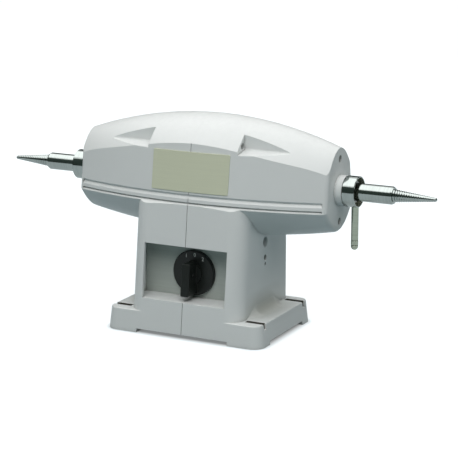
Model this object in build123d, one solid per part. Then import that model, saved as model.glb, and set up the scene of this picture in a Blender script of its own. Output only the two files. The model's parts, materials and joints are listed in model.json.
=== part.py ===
from build123d import *
import os
from math import cos, radians, sin, sqrt

# A double-ended bench polishing motor. Millimetres, +Z up, +X along the shaft to the right.
# The origin is the middle of the four bench slots, on the bench.

# Stance
SHAFT_HEIGHT = 180.0      # shaft axis above the bench
SHAFT_SETBACK = 12.0      # shaft axis behind the middle of the base
WALL = 4.0                # wall of the moulded housing
FIT = 0.03                # radial clearance of a seat that stays put
RUN = 0.05                # radial clearance of a turning fit
FREE = 0.3                # clearance of parts that only pass each other

# Barrel, heights counted from the shaft axis
BARREL_HALF = 165.0
DEPTH_MID = 66.5          # half depth at the seam, at the lower edge of the front
DEPTH_END = 39.2          # half depth at the end faces, at the same height
FRONT_LEAN = 0.14         # front and back draw in upwards, per unit of height
RIDGE_MID = 79.0          # top of the crown
RIDGE_END = 50.0
CREASE_MID = 50.2         # edge between the crown and the leaning front
CREASE_END = 21.7
CREASE_POWER = 1.6        # how the crease falls towards the ends
FLAT_LOW = -22.0          # lower edge of the leaning front
BELLY_MID = -65.0         # bottom of the belly
BELLY_END = -49.0
END_ROUND = 6.0           # rounding of the end faces below the crown
SEAM_WIDTH = 0.6          # shallow groove along the seam of the two halves
SEAM_DEPTH = 0.8

# Grooves that leave a rib along the front and the back, heights from the shaft axis
RIB_HALF = 160.0
UPPER_GROOVE_HIGH = -8.3
UPPER_GROOVE_LOW = -13.7
LOWER_GROOVE_HIGH = -18.0
LOWER_GROOVE_LOW = -21.0
GROOVE_DEPTH = 2.0

# Scoops in the crown
SCOOP_START = 59.0        # distance of the upright end wall from the seam
SCOOP_BACK = 35.0         # distance of the back wall from the shaft axis
SCOOP_FLOOR = 44.5        # height of the floor at the back wall, from the shaft axis
SCOOP_FALL = 0.2          # fall of the floor towards the outside
SCOOP_ROUND = 3.0

# Column
COLUMN_HALF = 74.0
COLUMN_ROUND = 21.0       # front corners
COLUMN_REAR_ROUND = 10.0
LEAN = 0.12               # draft of the column front and of the base, per unit of height
COLUMN_TOP = -19.8        # top ledge, from the shaft axis
LEDGE_ROUND = 1.0
REAR_LEDGE = 2.0          # base seen behind the column
COVE = 15.0               # hollow rounding between column and base
COVE_SINK = 0.5           # its crest lies this deep in the column side
COVE_FADE = 22.0          # length over which it runs out at each end
COVE_TIP = 0.5            # its size there

# Base
BASE_LENGTH = 202.0       # length and depth at the top
BASE_DEPTH = 141.0
BASE_HEIGHT = 27.0
BASE_ROUND = 12.0
BASE_EDGE = 1.5
FOOT_HEIGHT = 4.7
FOOT_LENGTH = 40.0
FOOT_DEPTH = 25.0
SLOT_LENGTH = 22.0
SLOT_WIDTH = 7.0
SLOT_NOTCH = 7.0          # depth of the slot where it runs out at the end of the base
SLOT_SPACING_X = 176.0
SLOT_SPACING_Y = 108.0

# Switch recess, panel and switch
RECESS_HALF = 55.0        # mouth in the column front; the room behind it is wider
RECESS_LOW = 43.0
RECESS_HIGH = 109.0
PANEL_FRONT = -36.5       # front of the panel, from the middle of the base
PANEL_THICK = 2.0
PANEL_GRIP = 3.0          # how far the panel reaches into its groove
PANEL_PLAY = 0.15
SWITCH_HEIGHT = 73.5
DIAL_RADIUS = 27.5
DIAL_THICK = 5.0
DIAL_BEVEL = 1.0
GRIP_WIDTH = 11.0
GRIP_UP = 14.6
GRIP_DOWN = 24.4
GRIP_PROUD_UP = 18.2      # how far the grip stands out at its upper and at its lower end
GRIP_PROUD_DOWN = 23.2
GRIP_CORNER = 1.8
GRIP_EDGE = 1.2
HUB_RADIUS = 12.0
HUB_THICK = 3.0
SWITCH_SHAFT_RADIUS = 3.0
BUSH_RADIUS = 5.0
SWITCH_NUT_RADIUS = 9.0
KNOB_SOCKET = 15.0        # depth of the spindle in the knob
KNOB_SCREW_RADIUS = 1.5
SWITCH_BODY = 40.0
SWITCH_BODY_DEPTH = 28.0
SWITCH_BODY_ROUND = 4.0
SWITCH_TAB = 5.0

# Holes in the column sides
SIDE_HOLE_Y = 2.5
TIE_HOLE_HEIGHT = 110.5
TIE_HOLE_RADIUS = 6.3
MIDDLE_HOLE_HEIGHT = 91.4
MIDDLE_HOLE_RADIUS = 3.6
SMALL_HOLE_HEIGHT = 83.5
SMALL_HOLE_RADIUS = 2.0
SIDE_HOLE_DEPTH = 10.0

# Motor
FRAME_RADIUS = 48.0
FRAME_WALL = 2.5
ROD_END_ROOM = 1.75       # between the rod ends and the column sides
WINDING_ROOM = 1.5        # between the windings and the end bells
ROTOR_RADIUS = 25.6
AIR_GAP = 0.4
SLOT_COUNT = 24
STATOR_SLOT_WIDTH = 3.2
STATOR_SLOT_DEPTH = 11.0
WINDING_LENGTH = 16.0
BLADE_COUNT = 8
BLADE_THICK = 2.0
ROD_CIRCLE = 55.0         # motor rods, distance from the shaft axis
ROD_ANGLE = 20.0          # and angle from upright
ROD_RADIUS = 2.5
ROD_NUT_HEIGHT = 5.0
ROD_PASSAGE = 1.0         # room round a rod in the saddles
EAR_RADIUS = 5.5
EAR_LENGTH = 8.0
INNER_SADDLE = 18.0       # distance of the motor saddles from the seam
OUTER_SADDLE = 44.0
SADDLE_THICK = 3.0
BELL_WALL = 4.0           # wall of the cast end bells

# Shaft line
ROTOR_SHAFT_RADIUS = 11.0
BEARING_BORE = 8.5        # bearing of 17 by 40 by 12 mm
BEARING_OUT = 20.0
BEARING_WIDTH = 12.0
BEARING_RING = 3.6
BEARING_SETBACK = 11.0    # between a bearing and the end wall
BALL_RADIUS = 3.4
BALL_COUNT = 7
SPRING_THICK = 1.0
SHAFT_END_RADIUS = 7.0
SHAFT_SHORT = 6.5         # the shaft ends this far inside the sleeve
NOSE_RADIUS = 13.0
NOSE_BORE = 9.5
NOSE_LENGTH = 11.0        # past the boss
SPINDLE_GAP = 1.0         # between a nose and its spindle
BOSS_RADIUS = 18.0
BOSS_LENGTH = 9.0
RING_RADIUS = 18.25
RING_BORE = 16.8
RING_WEB = 8.0
RING_LENGTH = 15.2
RING_EDGE = 0.5
CLIP_THICK = 1.2
LEVER_RADIUS = 4.25
LEVER_SETBACK = 5.0       # lever axis behind the open end of the ring
LEVER_REACH = 69.0
SLEEVE_RADIUS = 10.5
SLEEVE_LENGTH = 46.5
SLEEVE_CHAMFER = 2.0
TAPER_ROOT_RADIUS = 7.7
TAPER_TIP_RADIUS = 2.15
TAPER_LENGTH = 51.8

# Fasteners
END_SCREW_OFFSET = 37.0   # above and below the shaft axis
END_SCREW_RADIUS = 2.0
END_SCREW_SEAT = 3.0      # depth of the seat in the end face
END_SCREW_HEAD = 1.6
UPPER_BOLT_Y = 40.0       # before and behind the shaft axis
UPPER_BOLT_Z = 49.0       # above the shaft axis
UPPER_BOLT_RADIUS = 2.5
UPPER_HEAD_RADIUS = 4.0
UPPER_HEAD_PLACE = 40.0
LOWER_BOLT_RADIUS = 3.0
LOWER_HEAD_PLACE = 52.0
BOSS_WALL = 2.4
PLATE_SCREW_RADIUS = 2.0

# Name plate, heights from the shaft axis
PLATE_HALF = 50.5
PLATE_LOW = -6.0
PLATE_HIGH = 40.7
PLATE_THICK = 0.8
PLATE_ROUND = 1.5
PLATE_GLUE = 0.1          # glue between the plate and the housing

# Inside the base
BASE_PLATE_THICK = 2.0
CAPACITOR_RADIUS = 16.0
CAPACITOR_LENGTH = 70.0
CAPACITOR_Y = 36.0
CAPACITOR_EDGE = 2.0
STRAP_WIDTH = 12.0
STRAP_THICK = 1.0
TAB_WIDTH = 6.0
TERMINAL_LENGTH = 60.0
TERMINAL_DEPTH = 18.0
TERMINAL_HEIGHT = 16.0
TERMINAL_Y = -15.0
TERMINAL_COUNT = 6
EARTH_RADIUS = 4.5
GLAND_X = 30.0
GLAND_HEIGHT = 48.0
GLAND_RADIUS = 8.0
GLAND_LENGTH = 4.0
GLAND_RIM = 4.0

# Worked out from the sizes above
COLUMN_REAR = BASE_DEPTH / 2 - REAR_LEDGE
PLAN_RADIUS = (BARREL_HALF**2 + (DEPTH_MID - DEPTH_END) ** 2) / (2 * (DEPTH_MID - DEPTH_END))
INNER_END = BARREL_HALF - WALL
BOSS_END = BARREL_HALF + BOSS_LENGTH
RING_START = BOSS_END + FREE
RING_STEP = RING_START + RING_WEB
RING_END = RING_START + RING_LENGTH
LEVER_PLACE = RING_END - LEVER_SETBACK
NOSE_END = BOSS_END + NOSE_LENGTH
SLEEVE_START = NOSE_END + SPINDLE_GAP
SLEEVE_END = SLEEVE_START + SLEEVE_LENGTH
TAPER_END = SLEEVE_END + TAPER_LENGTH
SHAFT_END = SLEEVE_END - SHAFT_SHORT
BEARING_END = INNER_END - BEARING_SETBACK
BEARING_START = BEARING_END - BEARING_WIDTH
BALL_CIRCLE = (BEARING_BORE + BEARING_OUT) / 2
STATOR_BORE = ROTOR_RADIUS + AIR_GAP
FRAME_BORE = FRAME_RADIUS - FRAME_WALL
ROD_HALF = COLUMN_HALF - WALL - ROD_END_ROOM
BELL_RIM = ROD_HALF - ROD_RADIUS / 2 - ROD_NUT_HEIGHT
FRAME_HALF = BELL_RIM - EAR_LENGTH
CORE_HALF = FRAME_HALF - FRAME_WALL - WINDING_ROOM - WINDING_LENGTH
PLATE_TOP = FOOT_HEIGHT + BASE_PLATE_THICK
PANEL_REAR = PANEL_FRONT + PANEL_THICK
ROOM_HALF = COLUMN_HALF - WALL - PANEL_GRIP
DIAL_FRONT = PANEL_FRONT - DIAL_THICK
DIAL_SEAT = PANEL_FRONT - DIAL_THICK / 2
SOCKET_END = PANEL_REAR + SWITCH_BODY_DEPTH / 2
SEAT_WALL_RADIUS = BEARING_OUT + BELL_WALL
LUG_START = BEARING_END + BELL_WALL
CAPACITOR_HEIGHT = PLATE_TOP + STRAP_THICK + CAPACITOR_RADIUS
SHAFT = Pos(0, SHAFT_SETBACK, SHAFT_HEIGHT)
BOTH = (-1, 1)


def block(x0, x1, y0, y1, z0, z1):
    """A box between two corners."""
    return Pos((x0 + x1) / 2, (y0 + y1) / 2, (z0 + z1) / 2) * Box(x1 - x0, y1 - y0, z1 - z0)


def rod_x(radius, x0, x1, y=0.0, z=0.0):
    """A round bar along X."""
    return Pos((x0 + x1) / 2, y, z) * Rot(0, 90, 0) * Cylinder(radius, abs(x1 - x0))


def rod_y(radius, y0, y1, x=0.0, z=0.0):
    """A round bar along Y."""
    return Pos(x, (y0 + y1) / 2, z) * Rot(90, 0, 0) * Cylinder(radius, abs(y1 - y0))


def rod_z(radius, z0, z1, x=0.0, y=0.0):
    """A round bar along Z."""
    return Pos(x, y, (z0 + z1) / 2) * Cylinder(radius, abs(z1 - z0))


def nut_x(radius, bore, x0, x1, y=0.0, z=0.0):
    """A hexagon nut with its axis along X."""
    nut = extrude(RegularPolygon(radius, 6) - Circle(bore), x1 - x0)
    return Pos(x0, y, z) * Rot(0, 90, 0) * nut


def turned(*points):
    """A turned part on the shaft axis, from (place along X, radius) points."""
    return SHAFT * revolve(make_face(Polyline(*points, close=True)), Axis.X)


def tube(outer, inner, x0, x1):
    """A plain ring on the shaft axis."""
    return turned((x0, inner), (x0, outer), (x1, outer), (x1, inner))


def on_right(shape, side):
    """The shape as modelled on the right, or its mirror image for the left."""
    return shape if side > 0 else mirror(shape, about=Plane.YZ)


def group(*shapes):
    """Separate solids kept together as one node."""
    return Compound([solid for shape in shapes for solid in shape.solids()])


def along(mid, end, x, power=2):
    """A size that goes from its middle value to its end value along the barrel."""
    return mid + (end - mid) * (abs(x) / BARREL_HALF) ** power


def drawn_in(z):
    """How far the leaning front and back have come in at a height."""
    return FRONT_LEAN * (z - FLAT_LOW)


def plan_depth(x, inset):
    """Half depth of the barrel in plan at the lower edge of its front, a circular arc."""
    return sqrt((PLAN_RADIUS - inset) ** 2 - x**2) - (PLAN_RADIUS - DEPTH_MID)


def barrel_section(x, inset):
    """Crown over belly at one place, spread past the plan outline that trims it."""
    depth = plan_depth(x, 0)
    spread = depth + WALL
    ridge = along(RIDGE_MID, RIDGE_END, x)
    crease = along(CREASE_MID, CREASE_END, x, CREASE_POWER)
    belly = along(BELLY_MID, BELLY_END, x)
    crown_edge = ridge + (crease - ridge) * (spread / (depth - drawn_in(crease))) ** 2 - inset
    belly_edge = belly + (FLAT_LOW - belly) * (spread / depth) ** 2 + inset
    crown = Bezier((-spread, crown_edge), (0, 2 * (ridge - inset) - crown_edge), (spread, crown_edge))
    rear = Line((spread, crown_edge), (spread, belly_edge))
    under = Bezier((spread, belly_edge), (0, 2 * (belly + inset) - belly_edge), (-spread, belly_edge))
    front = Line((-spread, belly_edge), (-spread, crown_edge))
    return Plane.YZ.offset(x) * make_face([crown, rear, under, front])


def plan_outline(inset, z):
    """Plan of the barrel at a height: two arcs and two straight ends."""
    half = BARREL_HALF - inset
    end = plan_depth(half, inset) - drawn_in(z)
    mid = plan_depth(0, inset) - drawn_in(z)
    front = ThreePointArc((-half, -end), (0, -mid), (half, -end))
    right = Line((half, -end), (half, end))
    rear = ThreePointArc((half, end), (0, mid), (-half, end))
    left = Line((-half, end), (-half, -end))
    return Pos(0, 0, z) * make_face([front, right, rear, left])


def barrel_plan(inset):
    """Tall block with the leaning front and back, well past the crown and the belly."""
    return loft([plan_outline(inset, 2 * BELLY_MID), plan_outline(inset, 2 * RIDGE_MID)], ruled=True)


def barrel(inset):
    """The barrel, or its hollow when inset by the wall, about the shaft axis."""
    stations = [BARREL_HALF * step / 3 for step in range(-3, 4)]
    return loft([barrel_section(x, inset) for x in stations]) & barrel_plan(inset)


def rounded_barrel():
    """The barrel with its end faces rounded everywhere but along the crown."""
    body = barrel(0)
    ends = body.edges().filter_by(lambda edge: abs(abs(edge.center().X) - BARREL_HALF) < FREE)
    below = ends.filter_by(lambda edge: edge.center().Z < CREASE_END)
    return fillet(below, END_ROUND)


def column_front(z):
    """Place of the leaning front at a height."""
    return -BASE_DEPTH / 2 + LEAN * (z - BASE_HEIGHT)


def column_section(z, inset):
    """Rounded outline of the column at a height."""
    front = column_front(z) + inset
    rear = COLUMN_REAR - inset
    outline = Pos(0, (front + rear) / 2) * Rectangle(2 * (COLUMN_HALF - inset), rear - front)
    outline = fillet(outline.vertices().group_by(Axis.Y)[0], COLUMN_ROUND - inset)
    outline = fillet(outline.vertices().group_by(Axis.Y)[-1], COLUMN_REAR_ROUND - inset)
    return Pos(0, 0, z) * outline


def column(inset, low):
    """Leaning column from a height up to its ledge under the ribs."""
    top = SHAFT_HEIGHT + COLUMN_TOP - inset
    body = loft([column_section(low, inset), column_section(top, inset)], ruled=True)
    return fillet(body.edges().group_by(Axis.Z)[-1], LEDGE_ROUND)


def cove_section(y, size):
    """Hollow rounding between column side and base at one place, with its corner at the origin."""
    toe = (size + COVE_SINK, 0)
    crest = (COVE_SINK, size)
    middle = (COVE_SINK + size * (1 - cos(radians(45))), size * (1 - sin(radians(45))))
    hollow_side = ThreePointArc(toe, middle, crest)
    profile = [Line((0, 0), toe), hollow_side, Line(crest, (0, size)), Line((0, size), (0, 0))]
    return Pos(0, y, 0) * (Plane.XZ * make_face(profile))


def cove(side):
    """Hollow rounding from a column side out onto the base, running out before the bench slots."""
    end = SLOT_SPACING_Y / 2 - SLOT_WIDTH
    full = end - COVE_FADE
    places = ((-end, COVE_TIP), (-full, COVE), (full, COVE), (end, COVE_TIP))
    shape = loft([cove_section(y, size) for y, size in places], ruled=True)
    return on_right(Pos(COLUMN_HALF - 2 * COVE_SINK, 0, BASE_HEIGHT) * shape, side)


def base_section(z):
    """Rounded outline of the base at a height, wider towards the bench."""
    spread = LEAN * (BASE_HEIGHT - z)
    outline = RectangleRounded(BASE_LENGTH + 2 * spread, BASE_DEPTH + 2 * spread, BASE_ROUND + spread)
    return Pos(0, 0, z) * outline


def base_block():
    """Drafted base with corner feet."""
    base = loft([base_section(0), base_section(BASE_HEIGHT)], ruled=True)
    rim = base.edges().group_by(Axis.Z)[-1]
    base = fillet(rim, BASE_EDGE)
    between_x = BASE_LENGTH / 2 - FOOT_LENGTH
    between_y = BASE_DEPTH / 2 - FOOT_DEPTH
    base -= block(-between_x, between_x, -BASE_DEPTH, BASE_DEPTH, 0, FOOT_HEIGHT)
    return base - block(-BASE_LENGTH, BASE_LENGTH, -between_y, between_y, 0, FOOT_HEIGHT)


def bench_slots():
    """The four slots for the bench screws, each with a notch that runs out at the end of the base."""
    slot = extrude(SlotOverall(SLOT_LENGTH, SLOT_WIDTH), BASE_HEIGHT + COVE)
    half = SLOT_WIDTH / 2
    slot += block(0, SLOT_LENGTH, -half, half, BASE_HEIGHT - SLOT_NOTCH, BASE_HEIGHT + COVE)
    right = [Pos(SLOT_SPACING_X / 2, y * SLOT_SPACING_Y / 2, 0) * slot for y in BOTH]
    return right + [mirror(cut, about=Plane.YZ) for cut in right]


def base_cross(inset, z0, z1):
    """Cross-shaped space between the corner blocks of the base."""
    long_x = BASE_LENGTH / 2 - WALL - inset
    long_y = BASE_DEPTH / 2 - WALL - inset
    short_x = BASE_LENGTH / 2 - FOOT_LENGTH - WALL - inset
    short_y = BASE_DEPTH / 2 - FOOT_DEPTH - WALL - inset
    across = block(-short_x, short_x, -long_y, long_y, z0, z1)
    return across + block(-long_x, long_x, -short_y, short_y, z0, z1)


def scoops(grow):
    """The four cuts in the crown, or their walls' outside when grown."""
    back = SCOOP_BACK - grow
    far = DEPTH_MID + WALL
    floor = SCOOP_FLOOR - grow
    front_floor = floor - SCOOP_FALL * (far - back)
    outline = make_face(Polyline((back, floor), (far, front_floor), (far, 2 * RIDGE_MID),
                                 (back, 2 * RIDGE_MID), close=True))
    corner = outline.vertices().sort_by(Axis.X)[:2].sort_by(Axis.Y)[0]
    outline = fillet(corner, SCOOP_ROUND)
    cut = extrude(Plane.YZ.offset(SCOOP_START - grow) * outline, BARREL_HALF)
    behind = [cut, mirror(cut, about=Plane.YZ)]
    return behind + [mirror(shape, about=Plane.XZ) for shape in behind]


def groove(high, low):
    """A V groove round the front and the back of the barrel."""
    middle = (high + low) / 2
    outside = PLAN_RADIUS + WALL
    steep = (high - low) / 2 * (outside - PLAN_RADIUS + GROOVE_DEPTH) / GROOVE_DEPTH
    notch = make_face(Polyline((PLAN_RADIUS - GROOVE_DEPTH, middle), (outside, middle - steep),
                               (outside, middle + steep), close=True))
    ring = Pos(0, PLAN_RADIUS - DEPTH_MID + drawn_in(middle), 0) * revolve(Plane.XZ * notch, Axis.Z)
    front = ring & block(-RIB_HALF, RIB_HALF, -2 * DEPTH_MID, 0, BELLY_MID, RIDGE_MID)
    return [front, mirror(front, about=Plane.XZ)]


def outside(inset=0.0):
    """Whole outside of the housing, or the same drawn in, for the seam groove."""
    if inset:
        return SHAFT * barrel(inset) + column(inset, FOOT_HEIGHT + inset)
    body = SHAFT * rounded_barrel() + column(0, BASE_HEIGHT - 2 * BASE_EDGE) + base_block()
    for side in BOTH:
        body += cove(side)
        body += SHAFT * rod_x(BOSS_RADIUS, side * INNER_END, side * BOSS_END)
    return body - bench_slots()


def hollow():
    """Space inside the housing."""
    space = SHAFT * (barrel(WALL) - scoops(WALL))
    return space + column(WALL, BASE_HEIGHT - WALL) + base_cross(0, 0, BASE_HEIGHT - WALL)


def saddles():
    """Ring ribs that hold the motor frame, with passages for the motor rods."""
    holes = [rod_x(FRAME_RADIUS + RUN, -BARREL_HALF, BARREL_HALF)]
    holes += [rod_x(ROD_RADIUS + ROD_PASSAGE, -BARREL_HALF, BARREL_HALF, y, z) for y, z in rod_places()]
    rings = []
    for place in (INNER_SADDLE, OUTER_SADDLE):
        for side in BOTH:
            low = side * place - SADDLE_THICK / 2
            slab = block(low, low + SADDLE_THICK, -DEPTH_MID, DEPTH_MID, BELLY_MID, RIDGE_MID)
            rings.append(SHAFT * ((barrel(WALL / 2) & slab) - holes))
    return rings


def rod_places():
    """Places of the motor rods round the shaft axis."""
    across = ROD_CIRCLE * sin(radians(ROD_ANGLE))
    up = ROD_CIRCLE * cos(radians(ROD_ANGLE))
    return [(y * across, z * up) for y in BOTH for z in BOTH]


def upper_bolt_places():
    """Places of the bolts behind the scoops, in the part's own frame."""
    return [(SHAFT_SETBACK + y * UPPER_BOLT_Y, SHAFT_HEIGHT + UPPER_BOLT_Z) for y in BOTH]


def blind_holes():
    """Height and radius of the two blind holes in each column side."""
    return [(MIDDLE_HOLE_HEIGHT, MIDDLE_HOLE_RADIUS), (SMALL_HOLE_HEIGHT, SMALL_HOLE_RADIUS)]


def bolt_bosses():
    """Tubes for the bolts that pull the two halves together."""
    head = UPPER_HEAD_RADIUS + FREE
    bosses = [rod_x(head + BOSS_WALL, -SCOOP_START, SCOOP_START, y, z) for y, z in upper_bolt_places()]
    bosses.append(rod_x(TIE_HOLE_RADIUS + BOSS_WALL, -COLUMN_HALF, COLUMN_HALF, SIDE_HOLE_Y, TIE_HOLE_HEIGHT))
    for height, radius in blind_holes():
        for side in BOTH:
            inner = side * (COLUMN_HALF - SIDE_HOLE_DEPTH - BOSS_WALL)
            bosses.append(rod_x(radius + BOSS_WALL, inner, side * (COLUMN_HALF - FREE), SIDE_HOLE_Y, height))
    return bosses


def bolt_holes():
    """Bores for those bolts, their heads and nuts, and the two blind holes under the lower bolt."""
    cuts = []
    head = UPPER_HEAD_RADIUS + FREE
    for y, z in upper_bolt_places():
        cuts.append(rod_x(UPPER_BOLT_RADIUS + FREE, -SCOOP_START, SCOOP_START, y, z))
        for side in BOTH:
            cuts.append(rod_x(head, side * UPPER_HEAD_PLACE, side * (SCOOP_START + FREE), y, z))
    cuts.append(rod_x(LOWER_BOLT_RADIUS + FREE, -COLUMN_HALF, COLUMN_HALF, SIDE_HOLE_Y, TIE_HOLE_HEIGHT))
    for side in BOTH:
        outer = side * (COLUMN_HALF + COVE)
        cuts.append(rod_x(TIE_HOLE_RADIUS, side * LOWER_HEAD_PLACE, outer, SIDE_HOLE_Y, TIE_HOLE_HEIGHT))
        for height, radius in blind_holes():
            cuts.append(rod_x(radius, side * (COLUMN_HALF - SIDE_HOLE_DEPTH), outer, SIDE_HOLE_Y, height))
    return cuts


def plate_screw_places():
    """Places of the screws that hold the base plate."""
    boss = PLATE_SCREW_RADIUS + BOSS_WALL
    near = BASE_DEPTH / 2 - WALL - boss
    far = BASE_LENGTH / 2 - WALL - boss
    middle = [(x * (BASE_LENGTH / 2 - FOOT_LENGTH - 3 * WALL - boss), y * near) for x in BOTH for y in BOTH]
    return middle + [(x * far, y * near / 2) for x in BOTH for y in BOTH]


def plate_bosses():
    """Posts in the base for the base plate screws."""
    boss = PLATE_SCREW_RADIUS + BOSS_WALL
    top = BASE_HEIGHT - WALL / 2
    posts = [rod_z(boss, PLATE_TOP, top, x, y) for x, y in plate_screw_places()]
    for x, y in plate_screw_places():
        wall = (BASE_DEPTH - WALL) / 2 * (1 if y > 0 else -1)
        if abs(wall - y) < 2 * boss:
            posts.append(block(x - BOSS_WALL, x + BOSS_WALL, min(y, wall), max(y, wall), PLATE_TOP, top))
    return posts


def recess_frame():
    """Moulded tunnel from the column front back to the switch panel."""
    edge = PANEL_GRIP + BOSS_WALL
    half = ROOM_HALF + edge
    rear = PANEL_REAR + BOSS_WALL
    tunnel = block(-half, half, -BASE_DEPTH / 2, rear, RECESS_LOW - edge, RECESS_HIGH + edge)
    return tunnel & column(WALL / 2, BASE_HEIGHT)


def recess_cuts():
    """Mouth of the recess, the wider room behind the front wall and the groove that grips the panel."""
    rear = PANEL_REAR + 2 * BOSS_WALL
    mouth = block(-RECESS_HALF, RECESS_HALF, -BASE_DEPTH, rear, RECESS_LOW, RECESS_HIGH)
    room = block(-ROOM_HALF, ROOM_HALF, -BASE_DEPTH, PANEL_FRONT, RECESS_LOW, RECESS_HIGH)
    room &= column(WALL, BASE_HEIGHT)
    grip = PANEL_GRIP + PANEL_PLAY
    channel = block(-ROOM_HALF - grip, ROOM_HALF + grip, PANEL_FRONT, PANEL_REAR + PANEL_PLAY,
                    RECESS_LOW - grip, RECESS_HIGH + grip)
    return [mouth, room, channel]


def shaft_openings():
    """Holes in the end walls for the noses and the end screws."""
    cuts = []
    for side in BOTH:
        near = side * (INNER_END - WALL)
        seat = side * (BARREL_HALF - END_SCREW_SEAT)
        far = side * (BOSS_END + WALL)
        cuts.append(SHAFT * rod_x(NOSE_RADIUS + FREE / 2, near, far))
        for up in BOTH:
            cuts.append(SHAFT * rod_x(END_SCREW_RADIUS + FREE, near, far, 0, up * END_SCREW_OFFSET))
            cuts.append(SHAFT * rod_x(2 * END_SCREW_RADIUS + FREE, seat, far, 0, up * END_SCREW_OFFSET))
    return cuts


def seam_groove():
    """Shallow line where the halves meet, from the bench up to the crown."""
    half = SEAM_WIDTH / 2
    top = SHAFT_HEIGHT + CREASE_MID
    deep = BASE_DEPTH / 2 - SEAM_DEPTH
    slab = block(-half, half, -BASE_DEPTH, BASE_DEPTH, FOOT_HEIGHT, top)
    core = outside(SEAM_DEPTH)
    base_core = block(-half, half, -deep, deep, 0, BASE_HEIGHT - SEAM_DEPTH)
    return slab - core - base_core


def housing_halves():
    """The moulded housing, parted on the seam into its left and right half."""
    skin = outside()
    skin -= [SHAFT * cut for cut in scoops(0)]
    skin -= [SHAFT * cut for cut in groove(UPPER_GROOVE_HIGH, UPPER_GROOVE_LOW)]
    skin -= [SHAFT * cut for cut in groove(LOWER_GROOVE_HIGH, LOWER_GROOVE_LOW)]
    shell = skin - hollow()
    shell += saddles() + bolt_bosses() + plate_bosses() + [recess_frame()]
    shell -= bolt_holes() + recess_cuts() + shaft_openings()
    shell -= [rod_z(PLATE_SCREW_RADIUS - FIT, 0, BASE_HEIGHT - WALL, x, y) for x, y in plate_screw_places()]
    shell -= rod_y(GLAND_RADIUS + FREE / 2, 0, BASE_DEPTH, GLAND_X, GLAND_HEIGHT)
    shell -= seam_groove()
    right = split(shell, bisect_by=Plane.YZ, keep=Keep.TOP)
    left = split(shell, bisect_by=Plane.YZ, keep=Keep.BOTTOM)
    return left, right


def name_plate():
    """Thin bare plate that follows the curve and lean of the front."""
    outline = Plane.XZ * RectangleRounded(2 * PLATE_HALF, PLATE_HIGH - PLATE_LOW, PLATE_ROUND)
    sheet = Pos(0, 0, (PLATE_HIGH + PLATE_LOW) / 2) * extrude(outline, DEPTH_MID + WALL)
    return SHAFT * ((sheet & barrel_plan(-PLATE_GLUE - PLATE_THICK)) - barrel_plan(-PLATE_GLUE))


def stator_core():
    """Slotted stack of laminations."""
    low = STATOR_BORE / 2
    high = STATOR_BORE + STATOR_SLOT_DEPTH
    slot = Pos((low + high) / 2, 0) * Rectangle(high - low, STATOR_SLOT_WIDTH)
    sheet = Circle(FRAME_BORE - FIT) - Circle(STATOR_BORE)
    sheet -= [Rot(0, 0, 360 * index / SLOT_COUNT) * slot for index in range(SLOT_COUNT)]
    return SHAFT * Rot(0, 90, 0) * extrude(sheet, CORE_HALF, both=True)


def stator_windings():
    """Bundles of wire that come out of the slots at both ends."""
    low = STATOR_BORE + STATOR_SLOT_DEPTH / 4
    high = FRAME_BORE - FRAME_WALL
    end = CORE_HALF + WINDING_LENGTH
    bundle = make_face(Polyline((CORE_HALF, low), (CORE_HALF, high), (end, high), (end, low), close=True))
    outer = bundle.vertices().sort_by(Axis.X)[2:]
    ring = SHAFT * revolve(fillet(outer, WINDING_LENGTH / 4), Axis.X)
    return group(ring, mirror(ring, about=Plane.YZ))


def bell_ears():
    """Ears of an end bell for the motor rods, with webs down to the rim."""
    ears = []
    for y, z in rod_places():
        lean = -ROD_ANGLE if y * z > 0 else ROD_ANGLE
        upright = block(FRAME_HALF, BELL_RIM, -EAR_RADIUS, EAR_RADIUS, min(0, z), max(0, z))
        web = Rot(lean, 0, 0) * upright - rod_x(FRAME_BORE, FRAME_HALF, BELL_RIM)
        ears.append(web + rod_x(EAR_RADIUS, FRAME_HALF, BELL_RIM, y, z))
    return ears


def bell_lugs():
    """Lugs of an end bell that take the end screws."""
    reach = END_SCREW_OFFSET + 2 * END_SCREW_RADIUS
    half = 3 * END_SCREW_RADIUS
    lugs = block(LUG_START, INNER_END, -half, half, -reach, reach)
    lugs -= rod_x(SEAT_WALL_RADIUS - BELL_WALL / 2, LUG_START, INNER_END)
    holes = [rod_x(END_SCREW_RADIUS - FIT, LUG_START, INNER_END, 0, up * END_SCREW_OFFSET) for up in BOTH]
    return lugs - holes


def end_bell(side, seat_end):
    """Long cast end bell: spigot, cone, bearing seat, lugs, ears and nose."""
    spigot = FRAME_HALF - FRAME_WALL
    rim_bore = FRAME_BORE - BELL_WALL
    cone_bore = SEAT_WALL_RADIUS - BELL_WALL / 2
    seat = BEARING_OUT + FIT
    inside = ((spigot, rim_bore), (BELL_RIM, rim_bore), (BEARING_START - BELL_WALL, cone_bore),
              (BEARING_START, cone_bore), (BEARING_START, seat), (seat_end, seat), (seat_end, NOSE_BORE))
    outer = ((NOSE_END, NOSE_BORE), (NOSE_END, NOSE_RADIUS), (INNER_END, NOSE_RADIUS),
             (INNER_END, SEAT_WALL_RADIUS), (BEARING_START, SEAT_WALL_RADIUS), (BELL_RIM, FRAME_RADIUS),
             (FRAME_HALF, FRAME_RADIUS), (FRAME_HALF, FRAME_BORE - FIT), (spigot, FRAME_BORE - FIT))
    bell = turned(*inside, *outer)
    bell += [SHAFT * ear for ear in bell_ears()]
    bell += SHAFT * bell_lugs()
    bell -= [SHAFT * rod_x(ROD_RADIUS + FIT, FRAME_HALF, BELL_RIM, y, z) for y, z in rod_places()]
    return on_right(bell, side)


def motor_rods():
    """Long rods that hold the two end bells on the motor frame."""
    return group(*[SHAFT * rod_x(ROD_RADIUS, -ROD_HALF, ROD_HALF, y, z) for y, z in rod_places()])


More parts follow.
